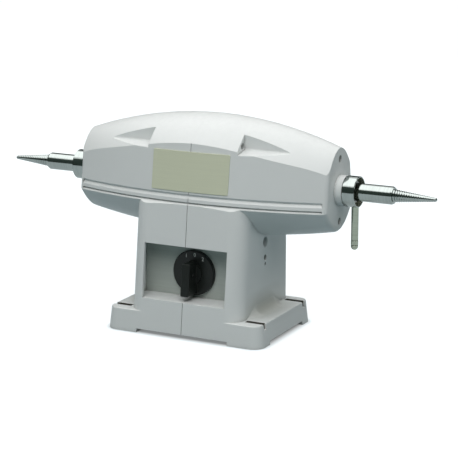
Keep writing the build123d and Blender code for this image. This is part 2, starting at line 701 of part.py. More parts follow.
def motor_nuts():
    """Nuts at both ends of the motor rods."""
    end = BELL_RIM + ROD_NUT_HEIGHT
    bore = ROD_RADIUS + FIT
    right = [SHAFT * nut_x(EAR_RADIUS - FREE, bore, BELL_RIM, end, y, z) for y, z in rod_places()]
    return group(*right, *[mirror(nut, about=Plane.YZ) for nut in right])


def motor_shaft():
    """Stepped shaft: thick in the rotor, bearing seats, slim ends inside the spindles."""
    thick_end = CORE_HALF + WINDING_LENGTH
    half = ((thick_end, ROTOR_SHAFT_RADIUS), (thick_end, BEARING_BORE), (BEARING_END, BEARING_BORE),
            (BEARING_END, SHAFT_END_RADIUS), (SHAFT_END, SHAFT_END_RADIUS), (SHAFT_END, 0))
    return turned(*[(-x, radius) for x, radius in reversed(half)], *half)


def rotor_end_rings():
    """Cast end rings of the rotor cage, with blades that stir the air."""
    low = ROTOR_SHAFT_RADIUS + BELL_WALL
    high = ROTOR_RADIUS - AIR_GAP
    ring_end = CORE_HALF + WINDING_LENGTH / 3
    half = BLADE_THICK / 2
    ring = tube(high, low, CORE_HALF, ring_end)
    blade = block(ring_end, CORE_HALF + WINDING_LENGTH, -half, half, (low + high) / 2, high - half)
    ring += [SHAFT * Rot(360 * index / BLADE_COUNT, 0, 0) * blade for index in range(BLADE_COUNT)]
    return group(ring, mirror(ring, about=Plane.YZ))


def bearing(side):
    """Outer ring, inner ring and balls of one ball bearing."""
    middle = (BEARING_START + BEARING_END) / 2
    ring_out = tube(BEARING_OUT, BEARING_OUT - BEARING_RING, BEARING_START, BEARING_END)
    ring_in = tube(BEARING_BORE + BEARING_RING, BEARING_BORE + FIT, BEARING_START, BEARING_END)
    path = SHAFT * Pos(middle, 0, 0) * Rot(0, 90, 0)
    ring_out -= path * Torus(BALL_CIRCLE, BALL_RADIUS + FREE)
    ring_in -= path * Torus(BALL_CIRCLE, BALL_RADIUS + RUN)
    ball = Pos(BALL_CIRCLE, 0, 0) * Sphere(BALL_RADIUS)
    balls = [path * Rot(0, 0, 360 * index / BALL_COUNT) * ball for index in range(BALL_COUNT)]
    return [on_right(shape, side) for shape in (ring_out, ring_in, group(*balls))]


def bearing_spring():
    """Preload washer behind the left bearing."""
    washer = tube(BEARING_OUT - FIT, BEARING_OUT - BEARING_RING, BEARING_END, BEARING_END + SPRING_THICK)
    return mirror(washer, about=Plane.YZ)


def spindle(side):
    """Sleeve over the shaft end with a long slender taper."""
    tip = TAPER_END - TAPER_TIP_RADIUS / 2
    bore = SHAFT_END_RADIUS + FIT
    bottom = SHAFT_END + FREE
    sleeve = ((bottom, 0), (bottom, bore), (SLEEVE_START, bore), (SLEEVE_START, SLEEVE_RADIUS),
              (SLEEVE_END - SLEEVE_CHAMFER, SLEEVE_RADIUS), (SLEEVE_END, SLEEVE_RADIUS - SLEEVE_CHAMFER / 2))
    taper = ((SLEEVE_END, TAPER_ROOT_RADIUS), (tip, TAPER_TIP_RADIUS), (TAPER_END, TAPER_TIP_RADIUS / 2),
             (TAPER_END, 0))
    return on_right(turned(*sleeve, *taper), side)


def nose_ring():
    """Chrome ring on the right nose, open at its outer end."""
    bore = NOSE_RADIUS + RUN
    shoulder = RING_RADIUS - RING_EDGE
    return turned((RING_START, bore), (RING_START, shoulder), (RING_START + RING_EDGE, RING_RADIUS),
                  (RING_END - RING_EDGE, RING_RADIUS), (RING_END, shoulder), (RING_END, RING_BORE),
                  (RING_STEP, RING_BORE), (RING_STEP, bore))


def nose_clip():
    """Snap ring that keeps the chrome ring on the nose."""
    start = RING_STEP + RUN
    return tube(NOSE_RADIUS + CLIP_THICK, NOSE_RADIUS + FIT, start, start + CLIP_THICK)


def lever_root(clearance):
    """Threaded root of the lever, or its hole in the ring."""
    low = SHAFT_HEIGHT - RING_RADIUS - LEVER_RADIUS
    high = SHAFT_HEIGHT - RING_BORE - FREE + clearance
    return rod_z(LEVER_RADIUS / 2 + clearance, low, high, LEVER_PLACE, SHAFT_SETBACK)


def lever():
    """Round lever screwed into the release ring, hanging down, with a domed end."""
    end = SHAFT_HEIGHT - LEVER_REACH + LEVER_RADIUS
    bar = rod_z(LEVER_RADIUS, end, SHAFT_HEIGHT - RING_BORE, LEVER_PLACE, SHAFT_SETBACK)
    bar += Pos(LEVER_PLACE, SHAFT_SETBACK, end) * Sphere(LEVER_RADIUS)
    bar -= SHAFT * rod_x(RING_RADIUS + FIT, RING_START, RING_END)
    return bar + lever_root(0)


def switch_panel():
    """Sheet metal panel at the back of the recess."""
    half = ROOM_HALF + PANEL_GRIP
    sheet = block(-half, half, PANEL_FRONT, PANEL_REAR, RECESS_LOW - PANEL_GRIP, RECESS_HIGH + PANEL_GRIP)
    return sheet - rod_y(BUSH_RADIUS + FREE, PANEL_FRONT, PANEL_REAR, 0, SWITCH_HEIGHT)


def switch_dial():
    """Round dial with a bevelled rim and a pocket for the switch nut."""
    outline = make_face(Polyline((0, 0), (DIAL_RADIUS, 0), (DIAL_RADIUS, DIAL_THICK - DIAL_BEVEL),
                                 (DIAL_RADIUS - DIAL_BEVEL, DIAL_THICK), (0, DIAL_THICK), close=True))
    disc = Pos(0, PANEL_FRONT, SWITCH_HEIGHT) * Rot(90, 0, 0) * revolve(Plane.XZ * outline, Axis.Z)
    disc -= rod_y(BUSH_RADIUS + FREE, DIAL_FRONT, PANEL_FRONT, 0, SWITCH_HEIGHT)
    return disc - rod_y(SWITCH_NUT_RADIUS + FREE, DIAL_FRONT, DIAL_SEAT, 0, SWITCH_HEIGHT)


def switch_nut():
    """Hexagon nut that holds dial and panel against the switch."""
    outline = RegularPolygon(SWITCH_NUT_RADIUS, 6) - Circle(BUSH_RADIUS + FIT)
    nut = extrude(outline, DIAL_SEAT - DIAL_FRONT - FREE)
    return Pos(0, DIAL_SEAT, SWITCH_HEIGHT) * Rot(90, 0, 0) * nut


def switch_body():
    """Cam switch with its threaded bush and side terminals."""
    half = SWITCH_BODY / 2
    rear = PANEL_REAR + SWITCH_BODY_DEPTH
    body = block(-half, half, PANEL_REAR, rear, SWITCH_HEIGHT - half, SWITCH_HEIGHT + half)
    body = fillet(body.edges().filter_by(Axis.Y), SWITCH_BODY_ROUND)
    body += rod_y(BUSH_RADIUS, DIAL_FRONT + FREE, PANEL_REAR, 0, SWITCH_HEIGHT)
    tab = SWITCH_TAB / 2
    for level in (-1, 0, 1):
        middle = SWITCH_HEIGHT + level * half / 2
        body += block(-half - tab, half + tab, rear - half, rear - half / 2, middle - tab, middle + tab)
    return body - rod_y(SWITCH_SHAFT_RADIUS + RUN, DIAL_FRONT, SOCKET_END, 0, SWITCH_HEIGHT)


def switch_spindle():
    """Spindle from the switch into the knob."""
    return rod_y(SWITCH_SHAFT_RADIUS, DIAL_FRONT - KNOB_SOCKET, SOCKET_END - FREE, 0, SWITCH_HEIGHT)


def switch_knob():
    """Round hub with a bar grip, longer and standing out further below the spindle than above."""
    profile = make_face(Polyline((-GRIP_DOWN, 0), (GRIP_UP, 0), (GRIP_UP, GRIP_PROUD_UP),
                                 (-GRIP_DOWN, GRIP_PROUD_DOWN), close=True))
    bar = extrude(Plane.YZ * profile, GRIP_WIDTH / 2, both=True)
    bar = fillet(bar.edges().filter_by(Axis.Z), GRIP_CORNER)
    front = bar.faces().sort_by(lambda face: face.center().Z)[-1]
    bar = fillet(front.edges(), GRIP_EDGE)
    bar += extrude(Circle(HUB_RADIUS), HUB_THICK)
    bar = Pos(0, DIAL_FRONT - FREE, SWITCH_HEIGHT) * Rot(90, 0, 0) * bar
    bar -= rod_y(SWITCH_SHAFT_RADIUS + FIT, DIAL_FRONT - KNOB_SOCKET - FREE, DIAL_FRONT, 0, SWITCH_HEIGHT)
    return bar - knob_screw(FIT, 0, GRIP_WIDTH)


def knob_screw(clearance, start, end):
    """Grub screw of the knob along its width, or its hole."""
    place = DIAL_FRONT - (GRIP_PROUD_UP + HUB_THICK) / 2
    return rod_x(KNOB_SCREW_RADIUS + clearance, start, end, place, SWITCH_HEIGHT)


def end_screws():
    """Screws through the end faces into the lugs of the end bells."""
    seat = BARREL_HALF - END_SCREW_SEAT
    screws = []
    for up in BOTH:
        shank = rod_x(END_SCREW_RADIUS - FIT, LUG_START, seat, 0, up * END_SCREW_OFFSET)
        head = rod_x(2 * END_SCREW_RADIUS, seat, seat + END_SCREW_HEAD, 0, up * END_SCREW_OFFSET)
        screws.append(SHAFT * (shank + head))
    return group(*screws, *[mirror(screw, about=Plane.YZ) for screw in screws])


def upper_bolts():
    """Long bolts behind the scoops."""
    height = 2 * UPPER_BOLT_RADIUS
    bolts = []
    for y, z in upper_bolt_places():
        shank = rod_x(UPPER_BOLT_RADIUS, -UPPER_HEAD_PLACE - height, UPPER_HEAD_PLACE, y, z)
        bolts.append(shank + rod_x(UPPER_HEAD_RADIUS, UPPER_HEAD_PLACE, UPPER_HEAD_PLACE + height, y, z))
    return group(*bolts)


def upper_nuts():
    """Nuts of the upper bolts."""
    start = -UPPER_HEAD_PLACE - 2 * UPPER_BOLT_RADIUS
    bore = UPPER_BOLT_RADIUS + FIT
    places = upper_bolt_places()
    return group(*[nut_x(UPPER_HEAD_RADIUS, bore, start, -UPPER_HEAD_PLACE, y, z) for y, z in places])


def lower_bolt():
    """Bolt across the column behind the switch."""
    height = 2 * LOWER_BOLT_RADIUS
    head_end = LOWER_HEAD_PLACE + height
    shank = rod_x(LOWER_BOLT_RADIUS, -head_end, LOWER_HEAD_PLACE, SIDE_HOLE_Y, TIE_HOLE_HEIGHT)
    return shank + rod_x(TIE_HOLE_RADIUS - FREE, LOWER_HEAD_PLACE, head_end, SIDE_HOLE_Y, TIE_HOLE_HEIGHT)


def lower_nut():
    """Nut of the lower bolt."""
    start = -LOWER_HEAD_PLACE - 2 * LOWER_BOLT_RADIUS
    bore = LOWER_BOLT_RADIUS + FIT
    return nut_x(TIE_HOLE_RADIUS - FREE, bore, start, -LOWER_HEAD_PLACE, SIDE_HOLE_Y, TIE_HOLE_HEIGHT)


def base_plate():
    """Cross-shaped steel plate that closes the base."""
    plate = base_cross(FREE, FOOT_HEIGHT, PLATE_TOP)
    return plate - [rod_z(PLATE_SCREW_RADIUS + FREE, 0, PLATE_TOP, x, y) for x, y in plate_screw_places()]


def base_plate_screws():
    """Screws of the base plate."""
    low = FOOT_HEIGHT - PLATE_SCREW_RADIUS
    screws = []
    for x, y in plate_screw_places():
        shank = rod_z(PLATE_SCREW_RADIUS - 2 * FIT, FOOT_HEIGHT, BASE_HEIGHT - 2 * WALL, x, y)
        screws.append(shank + rod_z(2 * PLATE_SCREW_RADIUS, low, FOOT_HEIGHT, x, y))
    return group(*screws)


def capacitor():
    """Round motor capacitor with two tabs."""
    half = CAPACITOR_LENGTH / 2
    can = rod_x(CAPACITOR_RADIUS, -half, half, CAPACITOR_Y, CAPACITOR_HEIGHT)
    can = fillet(can.edges(), CAPACITOR_EDGE)
    tab = TAB_WIDTH / 2
    for side in BOTH:
        y = CAPACITOR_Y + side * CAPACITOR_RADIUS / 3
        can += block(half - STRAP_THICK, half + TAB_WIDTH, y - STRAP_THICK / 2, y + STRAP_THICK / 2,
                     CAPACITOR_HEIGHT - tab, CAPACITOR_HEIGHT + tab)
    return can


def capacitor_clamp():
    """Strap round the capacitor with a foot on the base plate."""
    inner = CAPACITOR_RADIUS + FIT
    half = STRAP_WIDTH / 2
    bore = rod_x(inner, -half, half, CAPACITOR_Y, CAPACITOR_HEIGHT)
    strap = rod_x(inner + STRAP_THICK - 2 * FIT, -half, half, CAPACITOR_Y, CAPACITOR_HEIGHT)
    foot_end = CAPACITOR_Y + CAPACITOR_RADIUS
    strap += block(-half, half, CAPACITOR_Y, foot_end, PLATE_TOP, PLATE_TOP + STRAP_THICK)
    return strap - bore


def terminal_block():
    """Row of terminals on the base plate."""
    half = TERMINAL_LENGTH / 2
    front = TERMINAL_Y - TERMINAL_DEPTH / 2
    rear = TERMINAL_Y + TERMINAL_DEPTH / 2
    top = PLATE_TOP + TERMINAL_HEIGHT
    row = block(-half, half, front, rear, PLATE_TOP, top)
    pitch = TERMINAL_LENGTH / TERMINAL_COUNT
    for index in range(TERMINAL_COUNT):
        x = -half + pitch * (index + 0.5)
        for y in (front + TERMINAL_DEPTH / 4, rear - TERMINAL_DEPTH / 4):
            row -= rod_z(pitch / 4, PLATE_TOP + TERMINAL_HEIGHT / 2, top, x, y)
    return row


def earth_screw():
    """Earth screw with its washer on the base plate."""
    x = TERMINAL_LENGTH / 2 + 3 * EARTH_RADIUS
    washer = rod_z(EARTH_RADIUS, PLATE_TOP, PLATE_TOP + EARTH_RADIUS / 4, x, TERMINAL_Y)
    head = Pos(x, TERMINAL_Y, PLATE_TOP) * extrude(RegularPolygon(EARTH_RADIUS - FREE, 6), EARTH_RADIUS)
    return washer + head


def cable_gland():
    """Cable gland in the back wall, with an empty bore."""
    shoulder = COLUMN_REAR + GLAND_LENGTH / 2
    flange = Rot(-90, 0, 0) * extrude(RegularPolygon(GLAND_RADIUS + GLAND_RIM, 6), GLAND_LENGTH / 2)
    body = Pos(GLAND_X, COLUMN_REAR, GLAND_HEIGHT) * flange
    body += rod_y(GLAND_RADIUS, COLUMN_REAR - 3 * WALL, COLUMN_REAR, GLAND_X, GLAND_HEIGHT)
    body += rod_y(GLAND_RADIUS, shoulder, COLUMN_REAR + GLAND_LENGTH, GLAND_X, GLAND_HEIGHT)
    return body - rod_y(GLAND_RADIUS / 2, 0, BASE_DEPTH, GLAND_X, GLAND_HEIGHT)


def gland_nut():
    """Nut of the gland, inside the column."""
    outline = RegularPolygon(GLAND_RADIUS + GLAND_RIM, 6) - Circle(GLAND_RADIUS + FIT)
    nut = Rot(90, 0, 0) * extrude(outline, GLAND_RIM)
    return Pos(GLAND_X, COLUMN_REAR - WALL, GLAND_HEIGHT) * nut


def all_pieces():
    """Every node of the machine by its name."""
    left_housing, right_housing = housing_halves()
    left_outer, left_inner, left_balls = bearing(-1)
    right_outer, right_inner, right_balls = bearing(1)
    ring = nose_ring()
    clip = nose_clip()
    return {
        "left_housing": left_housing,
        "right_housing": right_housing,
        "name_plate": name_plate(),
        "upper_housing_bolts": upper_bolts(),
        "upper_housing_nuts": upper_nuts(),
        "lower_housing_bolt": lower_bolt(),
        "lower_housing_nut": lower_nut(),
        "end_screws": end_screws(),
        "motor_frame": tube(FRAME_RADIUS, FRAME_BORE, -FRAME_HALF, FRAME_HALF),
        "stator_core": stator_core(),
        "stator_windings": stator_windings(),
        "left_end_bell": end_bell(-1, BEARING_END + SPRING_THICK),
        "right_end_bell": end_bell(1, BEARING_END),
        "motor_rods": motor_rods(),
        "motor_nuts": motor_nuts(),
        "left_bearing_outer": left_outer,
        "right_bearing_outer": right_outer,
        "bearing_spring": bearing_spring(),
        "left_collar": mirror(ring, about=Plane.YZ),
        "ring_clips": group(clip, mirror(clip, about=Plane.YZ)),
        "switch_panel": switch_panel(),
        "switch_dial": switch_dial(),
        "switch_nut": switch_nut(),
        "switch_body": switch_body(),
        "capacitor": capacitor(),
        "capacitor_clamp": capacitor_clamp(),
        "terminal_block": terminal_block(),
        "earth_screw": earth_screw(),
        "base_plate": base_plate(),
        "base_plate_screws": base_plate_screws(),
        "cable_gland": cable_gland(),
        "gland_nut": gland_nut(),
        "motor_shaft": motor_shaft(),
        "rotor_core": tube(ROTOR_RADIUS, ROTOR_SHAFT_RADIUS + FIT, -CORE_HALF, CORE_HALF),
        "rotor_end_rings": rotor_end_rings(),
        "left_bearing_inner": left_inner,
        "right_bearing_inner": right_inner,
        "bearing_balls": group(left_balls, right_balls),
        "left_spindle": spindle(-1),
        "right_spindle": spindle(1),
        "switch_spindle": switch_spindle(),
        "switch_knob": switch_knob(),
        "knob_screw": knob_screw(0, SWITCH_SHAFT_RADIUS + FIT, (GRIP_WIDTH - KNOB_SCREW_RADIUS) / 2),
        "release_ring": ring - lever_root(FIT),
        "release_lever": lever(),
    }


os.makedirs("parts", exist_ok=True)
for node, shape in all_pieces().items():
    export_step(shape, f"parts/{node}.step")
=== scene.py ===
import json
import math

import bpy
from bpy.props import FloatProperty, FloatVectorProperty, IntProperty, PointerProperty
from bpy.types import NodeSocket, Operator, Panel, PropertyGroup
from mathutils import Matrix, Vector


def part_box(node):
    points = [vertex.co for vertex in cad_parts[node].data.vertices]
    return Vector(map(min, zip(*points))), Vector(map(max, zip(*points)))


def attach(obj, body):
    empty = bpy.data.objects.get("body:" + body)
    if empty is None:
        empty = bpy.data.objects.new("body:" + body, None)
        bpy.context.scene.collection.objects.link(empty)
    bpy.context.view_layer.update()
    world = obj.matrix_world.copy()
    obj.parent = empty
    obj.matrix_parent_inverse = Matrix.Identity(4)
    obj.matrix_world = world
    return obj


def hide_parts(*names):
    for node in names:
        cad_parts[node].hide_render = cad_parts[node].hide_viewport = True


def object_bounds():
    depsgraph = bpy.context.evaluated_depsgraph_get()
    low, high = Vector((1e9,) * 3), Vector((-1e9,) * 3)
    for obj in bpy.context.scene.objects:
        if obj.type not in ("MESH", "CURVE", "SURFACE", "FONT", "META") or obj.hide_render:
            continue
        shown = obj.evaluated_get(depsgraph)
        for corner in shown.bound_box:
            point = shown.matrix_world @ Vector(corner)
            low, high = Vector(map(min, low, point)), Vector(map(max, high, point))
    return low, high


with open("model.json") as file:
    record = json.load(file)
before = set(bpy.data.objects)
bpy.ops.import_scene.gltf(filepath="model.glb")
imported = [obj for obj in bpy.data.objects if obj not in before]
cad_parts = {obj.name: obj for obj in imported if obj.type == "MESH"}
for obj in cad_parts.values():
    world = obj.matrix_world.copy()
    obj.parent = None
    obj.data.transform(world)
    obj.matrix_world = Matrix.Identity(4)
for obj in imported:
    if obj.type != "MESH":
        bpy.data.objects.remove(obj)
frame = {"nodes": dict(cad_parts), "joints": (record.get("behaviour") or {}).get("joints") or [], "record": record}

bl_info = {
    "name": "Bench polishing motor",
    "version": (1, 0, 0),
    "blender": (4, 5, 0),
    "location": "3D View > Sidebar > Polishing motor",
    "description": "Finishes, turned pieces and studio for a double-ended bench polishing motor",
    "category": "Object",
}

MM = 0.001
MERGE = 0.002 * MM  # points nearer than this become one
OVERLAP = 0.05 * MM  # how far two shapes reach into each other where they are joined
WALL_REACH = 0.1 * MM  # how far a mask reaches past the wall that it colours
FULL_TURN = 2 * math.pi
QUARTER_TURN = math.pi / 2
SHARP_EDGE = math.radians(35)  # an edge that turns more stays sharp
THREAD_EDGE = math.radians(20)  # the same on a threaded piece
CAD_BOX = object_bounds()
JOINTS = {joint["name"]: joint for joint in frame["joints"]}
SHAFT_AXIS = Vector(JOINTS["spindle_spin"]["pos_m"])
SWITCH_AXIS = Vector(JOINTS["switch_turn"]["pos_m"])
MOUNTS = {mount["name"]: mount for mount in frame["record"]["mounts"]}
BENCH_SLOTS = MOUNTS["bench_slots"]["dims"]
SLOT_COLUMN = BENCH_SLOTS["spacing_x_mm"] / 2 * MM
SLOT_ROW = BENCH_SLOTS["spacing_y_mm"] / 2 * MM


# Sizes and colours that a user may change

def length(name, text, millimetres):
    """A length in the sidebar."""
    return FloatProperty(name=name, description=text, subtype="DISTANCE", unit="LENGTH",
                         default=millimetres * MM)


def angle(name, text, degrees):
    """An angle in the sidebar."""
    return FloatProperty(name=name, description=text, subtype="ANGLE", unit="ROTATION",
                         default=math.radians(degrees))


def colour(name, text, red, green, blue):
    """A colour in the sidebar."""
    return FloatVectorProperty(name=name, description=text, subtype="COLOR", size=3, min=0, max=1,
                               default=(red, green, blue))


def point(name, text, x, y, z):
    """A place in metres in the sidebar."""
    return FloatVectorProperty(name=name, description=text, subtype="TRANSLATION", size=3, default=(x, y, z))


def amount(name, text, value):
    """A plain number in the sidebar."""
    return FloatProperty(name=name, description=text, default=value)


class MouldedFinish(PropertyGroup):
    paint: colour("Paint", "Colour of the moulded housing", 0.78, 0.80, 0.79)
    worn: colour("Worn", "Colour of the rubbed edges", 0.88, 0.88, 0.86)
    # Painted shade: near black laid in hidden corners, holes and bench slots; the same colour gives dark specks of
    # grime on level faces
    dirt_and_shade: colour("Dirt And Shade", "Colour of the dirt in corners, holes and slots", 0.075, 0.07, 0.056)
    # Painted shade: a brownish darkening at the foot of the column's sides, where the barrel above shades the base
    dust_and_shade: colour("Dust And Shade", "Colour of the dust at the foot of the column", 0.20, 0.20, 0.13)
    foot_shade: amount("Foot shade", "Share of that dust at the foot itself", 0.6)
    foot_shade_reach: length("Foot reach", "How far that dust spreads", 30.0)
    column_half: length("Column half", "Half width of the column at its foot", 74.0)
    base_top: length("Base top", "Height of the top of the base", 27.0)
    grain: length("Grain", "Width of one grain of the moulded skin", 0.9)
    soft_edge: length("Soft edge", "Radius of the softened edges", 0.8)
    black: colour("Black", "Colour of the dial, the knob and the gland", 0.0125, 0.0155, 0.0135)
    grey: colour("Grey", "Colour of the plastic pieces inside", 0.30, 0.31, 0.31)


class MetalFinish(PropertyGroup):
    chrome: colour("Chrome", "Colour of the polished plating", 0.375, 0.41, 0.395)
    lever: colour("Lever", "Colour of the plating of the lever", 0.40, 0.44, 0.36)
    bore: colour("Bore", "Colour of the unpolished bores of the rings", 0.38, 0.40, 0.33)
    ring_bore: length("Ring bore", "Radius of the open bore of the rings", 16.8)
    plate: colour("Plate", "Colour of the bare plate", 0.78, 0.80, 0.61)
    panel: colour("Panel", "Colour of the switch panel", 0.455, 0.495, 0.46)
    zinc: colour("Zinc", "Colour of the zinc-plated pieces", 0.50, 0.51, 0.50)
    # Painted shade: the housing bolts are made nearly black so that their deep holes look shadowed
    bolt_painted_shade: colour("Bolt shade", "Colour of the housing bolts", 0.05, 0.056, 0.054)
    cast: colour("Cast metal", "Colour of the cast pieces", 0.52, 0.53, 0.54)
    sheet: colour("Sheet stack", "Colour of the laminations and the motor frame", 0.24, 0.25, 0.27)
    winding: colour("Winding", "Colour of the enamelled wire", 0.52, 0.22, 0.08)
    ground: colour("Ground steel", "Colour of the shaft and the bearings", 0.58, 0.59, 0.60)


class SpindleSizes(PropertyGroup):
    sleeve: length("Sleeve", "Length of the plain sleeve", 46.5)
    chamfer: length("Chamfer", "Length of the chamfer at its end", 2.0)
    bore: length("Bore", "Radius of the bore for the shaft", 7.05)
    bore_depth: length("Bore depth", "Depth of that bore", 40.3)
    root: length("Root", "Radius of the taper at the sleeve", 7.7)
    tip: length("Tip", "Radius of the taper at its tip", 2.15)
    pitch: length("Pitch", "Pitch of the thread on the taper", 2.8)
    thread_depth: length("Thread depth", "Depth of that thread at the root", 0.8)
    facets: IntProperty(name="Facets", description="Faces round a turned piece", default=96, min=12)


class LeverSizes(PropertyGroup):
    band_low: length("Band start", "Height of the lower end of the knurled band", 5.7)
    band_high: length("Band end", "Height of its upper end", 11.4)
    groove: length("Groove", "Width of the grooves at both ends of the band", 0.8)
    ridge: length("Ridge", "Width of one ridge of the knurled band", 0.45)
    ridges: IntProperty(name="Ridges", description="Number of ridges round the lever", default=36, min=6)
    sink: length("Sink", "How far the lever stops short inside the ring's wall", 0.3)


class FastenerSizes(PropertyGroup):
    screw_seat: length("Screw seat", "Depth of the seats below the screws' tops", 1.6)
    screw_head: length("Screw head", "Height of the domed heads", 1.0)
    screw_shank: length("Screw shank", "Length of the screws under the head", 8.0)
    recess: length("Recess", "Width of the cross recess in a screw head", 1.1)
    upper_shank: length("Upper shank", "Radius of the upper housing bolts", 2.5)
    upper_head: length("Upper head", "Height of their heads", 5.0)
    lower_shank: length("Lower shank", "Radius of the lower housing bolt", 3.0)
    lower_head: length("Lower head", "Height of its head", 6.0)


class DialMarks(PropertyGroup):
    numeral: length("Numeral", "Height of the numbers on the dial", 4.6)
    circle: length("Circle", "Distance of the numbers from the switch axis", 22.2)
    step: angle("Step", "Angle between two positions of the switch", 30)
    skew: angle("Skew", "How far the dial is set askew, clockwise", 5.7)
    ink: colour("Ink", "Colour of the numbers", 0.80, 0.80, 0.76)


class StudioSetup(PropertyGroup):
    azimuth: angle("Azimuth", "Camera's angle round the machine", 27.04)
    pitch: angle("Pitch", "Camera's angle above the bench", 13.30)
    distance: length("Distance", "Camera's distance from its target", 2005.77)
    target: point("Target", "Point in the middle of the picture", 0.01633, 0.02033, 0.11599)
    lens: amount("Lens", "Focal length in millimetres", 129.99)
    key_power: amount("Key light", "Power of the overhead light in watts", 92.0)
    key_width: length("Key width", "Width of the overhead light", 5000)
    key_depth: length("Key depth", "Depth of the overhead light", 4200)
    key_place: point("Key place", "Middle of the overhead light", 0.0, -0.7, 2.3)
    fill_power: amount("Fill light", "Power of the light from the front in watts", 15.5)
    fill_size: length("Fill size", "Width and depth of the two weak lights", 1200)
    fill_place: point("Fill place", "Middle of the light from the front", 0.6, -1.6, 1.75)
    back_power: amount("Back light", "Power of the light from the back in watts", 9.0)
    back_place: point("Back place", "Middle of the light from the back", -0.4, 2.0, 1.1)
    sky: amount("Sky", "Strength of the light from all round", 0.10)
    floor: colour("Floor", "Colour of the floor", 0.18, 0.24, 0.26)
    floor_glow: amount("Floor glow", "White that the floor adds near the machine", 0.88)
    mirror_glow: amount("Mirror glow", "White that the floor adds in mirrors", 0.45)
    contact: length("Contact", "Width of the grey line on the floor round the base", 13)
    contact_round: length("Contact corner", "Rounding of that line at the corners", 18)
    contact_white: amount("Contact white", "Share of the floor's white left in that line", 0.22)
    card: colour("Cards", "Colour of the dark cards that the metal mirrors", 0.07, 0.097, 0.084)


class MotorSettings(PropertyGroup):
    moulded: PointerProperty(type=MouldedFinish)
    metal: PointerProperty(type=MetalFinish)
    spindle: PointerProperty(type=SpindleSizes)
    lever: PointerProperty(type=LeverSizes)
    fastener: PointerProperty(type=FastenerSizes)
    dial: PointerProperty(type=DialMarks)
    studio: PointerProperty(type=StudioSetup)


def settings():
    """The values of the sidebar."""
    return bpy.context.scene.polishing_motor


# Modelling helpers

def deselect():
    """Object mode with nothing selected."""
    if bpy.context.mode != "OBJECT":
        bpy.ops.object.mode_set(mode="OBJECT")
    bpy.ops.object.select_all(action="DESELECT")


def pick(*pieces):
    """Selects these pieces alone; the first becomes active."""
    deselect()
    for piece in pieces:
        piece.select_set(True)
    bpy.context.view_layer.objects.active = pieces[0]


def edit_all(piece):
    """Edit mode on a piece with all of its mesh selected."""
    pick(piece)
    bpy.ops.object.mode_set(mode="EDIT")
    bpy.ops.mesh.select_all(action="SELECT")


def named(name):
    """The piece that was added last, with its name."""
    piece = bpy.context.object
    piece.name = name
    piece.data.name = name
    return piece


def apply_place(piece):
    """Puts a piece's place, turn and scale into its mesh."""
    pick(piece)
    bpy.ops.object.transform_apply(location=True, rotation=True, scale=True)


def apply_modifier(piece, kind, **values):
    """Adds a modifier with these values and applies it."""
    pick(piece)
    modifier = piece.modifiers.new(kind.title(), kind)
    for key, value in values.items():
        setattr(modifier, key, value)
    bpy.ops.object.modifier_apply(modifier=modifier.name)


def close_mesh(piece):
    """Merges doubles and points every face outwards."""
    edit_all(piece)
    bpy.ops.mesh.remove_doubles(threshold=MERGE)
    bpy.ops.mesh.normals_make_consistent(inside=False)
    bpy.ops.object.mode_set(mode="OBJECT")


def shade(piece, sharp=SHARP_EDGE):
    """Smooth shading with edges kept sharp past an angle."""
    pick(piece)
    bpy.ops.object.shade_smooth_by_angle(angle=sharp)


def outline(name, points):
    """A new piece that is one line of edges through (radius, height) points."""
    deselect()
    radius, height = points[0]
    bpy.ops.mesh.primitive_plane_add(size=1.0)
    piece = named(name)
    bpy.ops.object.mode_set(mode="EDIT")
    bpy.ops.mesh.merge(type="CENTER")
    bpy.ops.transform.translate(value=(radius, 0, height))
    for next_radius, next_height in points[1:]:
        step = (next_radius - radius, 0, next_height - height)
        bpy.ops.mesh.extrude_vertices_move(TRANSFORM_OT_translate={"value": step})
        radius, height = next_radius, next_height
    bpy.ops.object.mode_set(mode="OBJECT")
    return piece


def spin(piece, steps, turn=FULL_TURN, copies=False):
    """Spins a piece's mesh round Z, into one surface or into separate copies."""
    edit_all(piece)
    bpy.ops.mesh.spin(steps=steps, dupli=copies, angle=turn, center=(0, 0, 0), axis=(0, 0, 1))
    bpy.ops.object.mode_set(mode="OBJECT")


def turned(name, points, facets):
    """A piece turned round Z from the outline of its half section."""
    piece = outline(name, points)
    spin(piece, facets)
    close_mesh(piece)
    return piece


def quarter_steps(steps):
    """Angles from zero to a quarter turn."""
    return [QUARTER_TURN * step / steps for step in range(steps + 1)]


def bar(name, size, place):
    """A bar of a size, with its middle at a place."""
    deselect()
    bpy.ops.mesh.primitive_cube_add(size=1.0, location=place, scale=size)
    piece = named(name)
    apply_place(piece)
    return piece


def combine(piece, tool, operation):
    """Cuts a tool out of a piece or adds it, and deletes the tool."""
    apply_modifier(piece, "BOOLEAN", object=tool, operation=operation, solver="EXACT")
    bpy.data.objects.remove(tool, do_unlink=True)


def trim(piece, height, keep):
    """Cuts a piece level at a height, keeps what is above (1) or below (-1) and closes the cut."""
    edit_all(piece)
    bpy.ops.mesh.bisect(plane_co=(0, 0, height), plane_no=(0, 0, keep), use_fill=True, clear_inner=True)
    bpy.ops.object.mode_set(mode="OBJECT")


def join(piece, *others):
    """Joins other pieces into one."""
    pick(piece, *others)
    bpy.ops.object.join()
    return piece


def copy_of(piece, name):
    """A copy with its own mesh."""
    pick(piece)
    bpy.ops.object.duplicate(linked=False)
    return named(name)


def lay_along_x(piece, place, side):
    """Turns a piece from +Z to the right or left along X and puts it at its place."""
    piece.rotation_euler = (0, side * QUARTER_TURN, 0)
    piece.location = place
    apply_place(piece)


def mount_piece(piece, body, material, slot, *nodes):
    """Gives a finished piece its material and its body, and hides the nodes that it stands for."""
    piece.data.materials.clear()
    piece.data.materials.append(material)
    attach(piece, body)
    if nodes:
        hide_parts(*nodes)


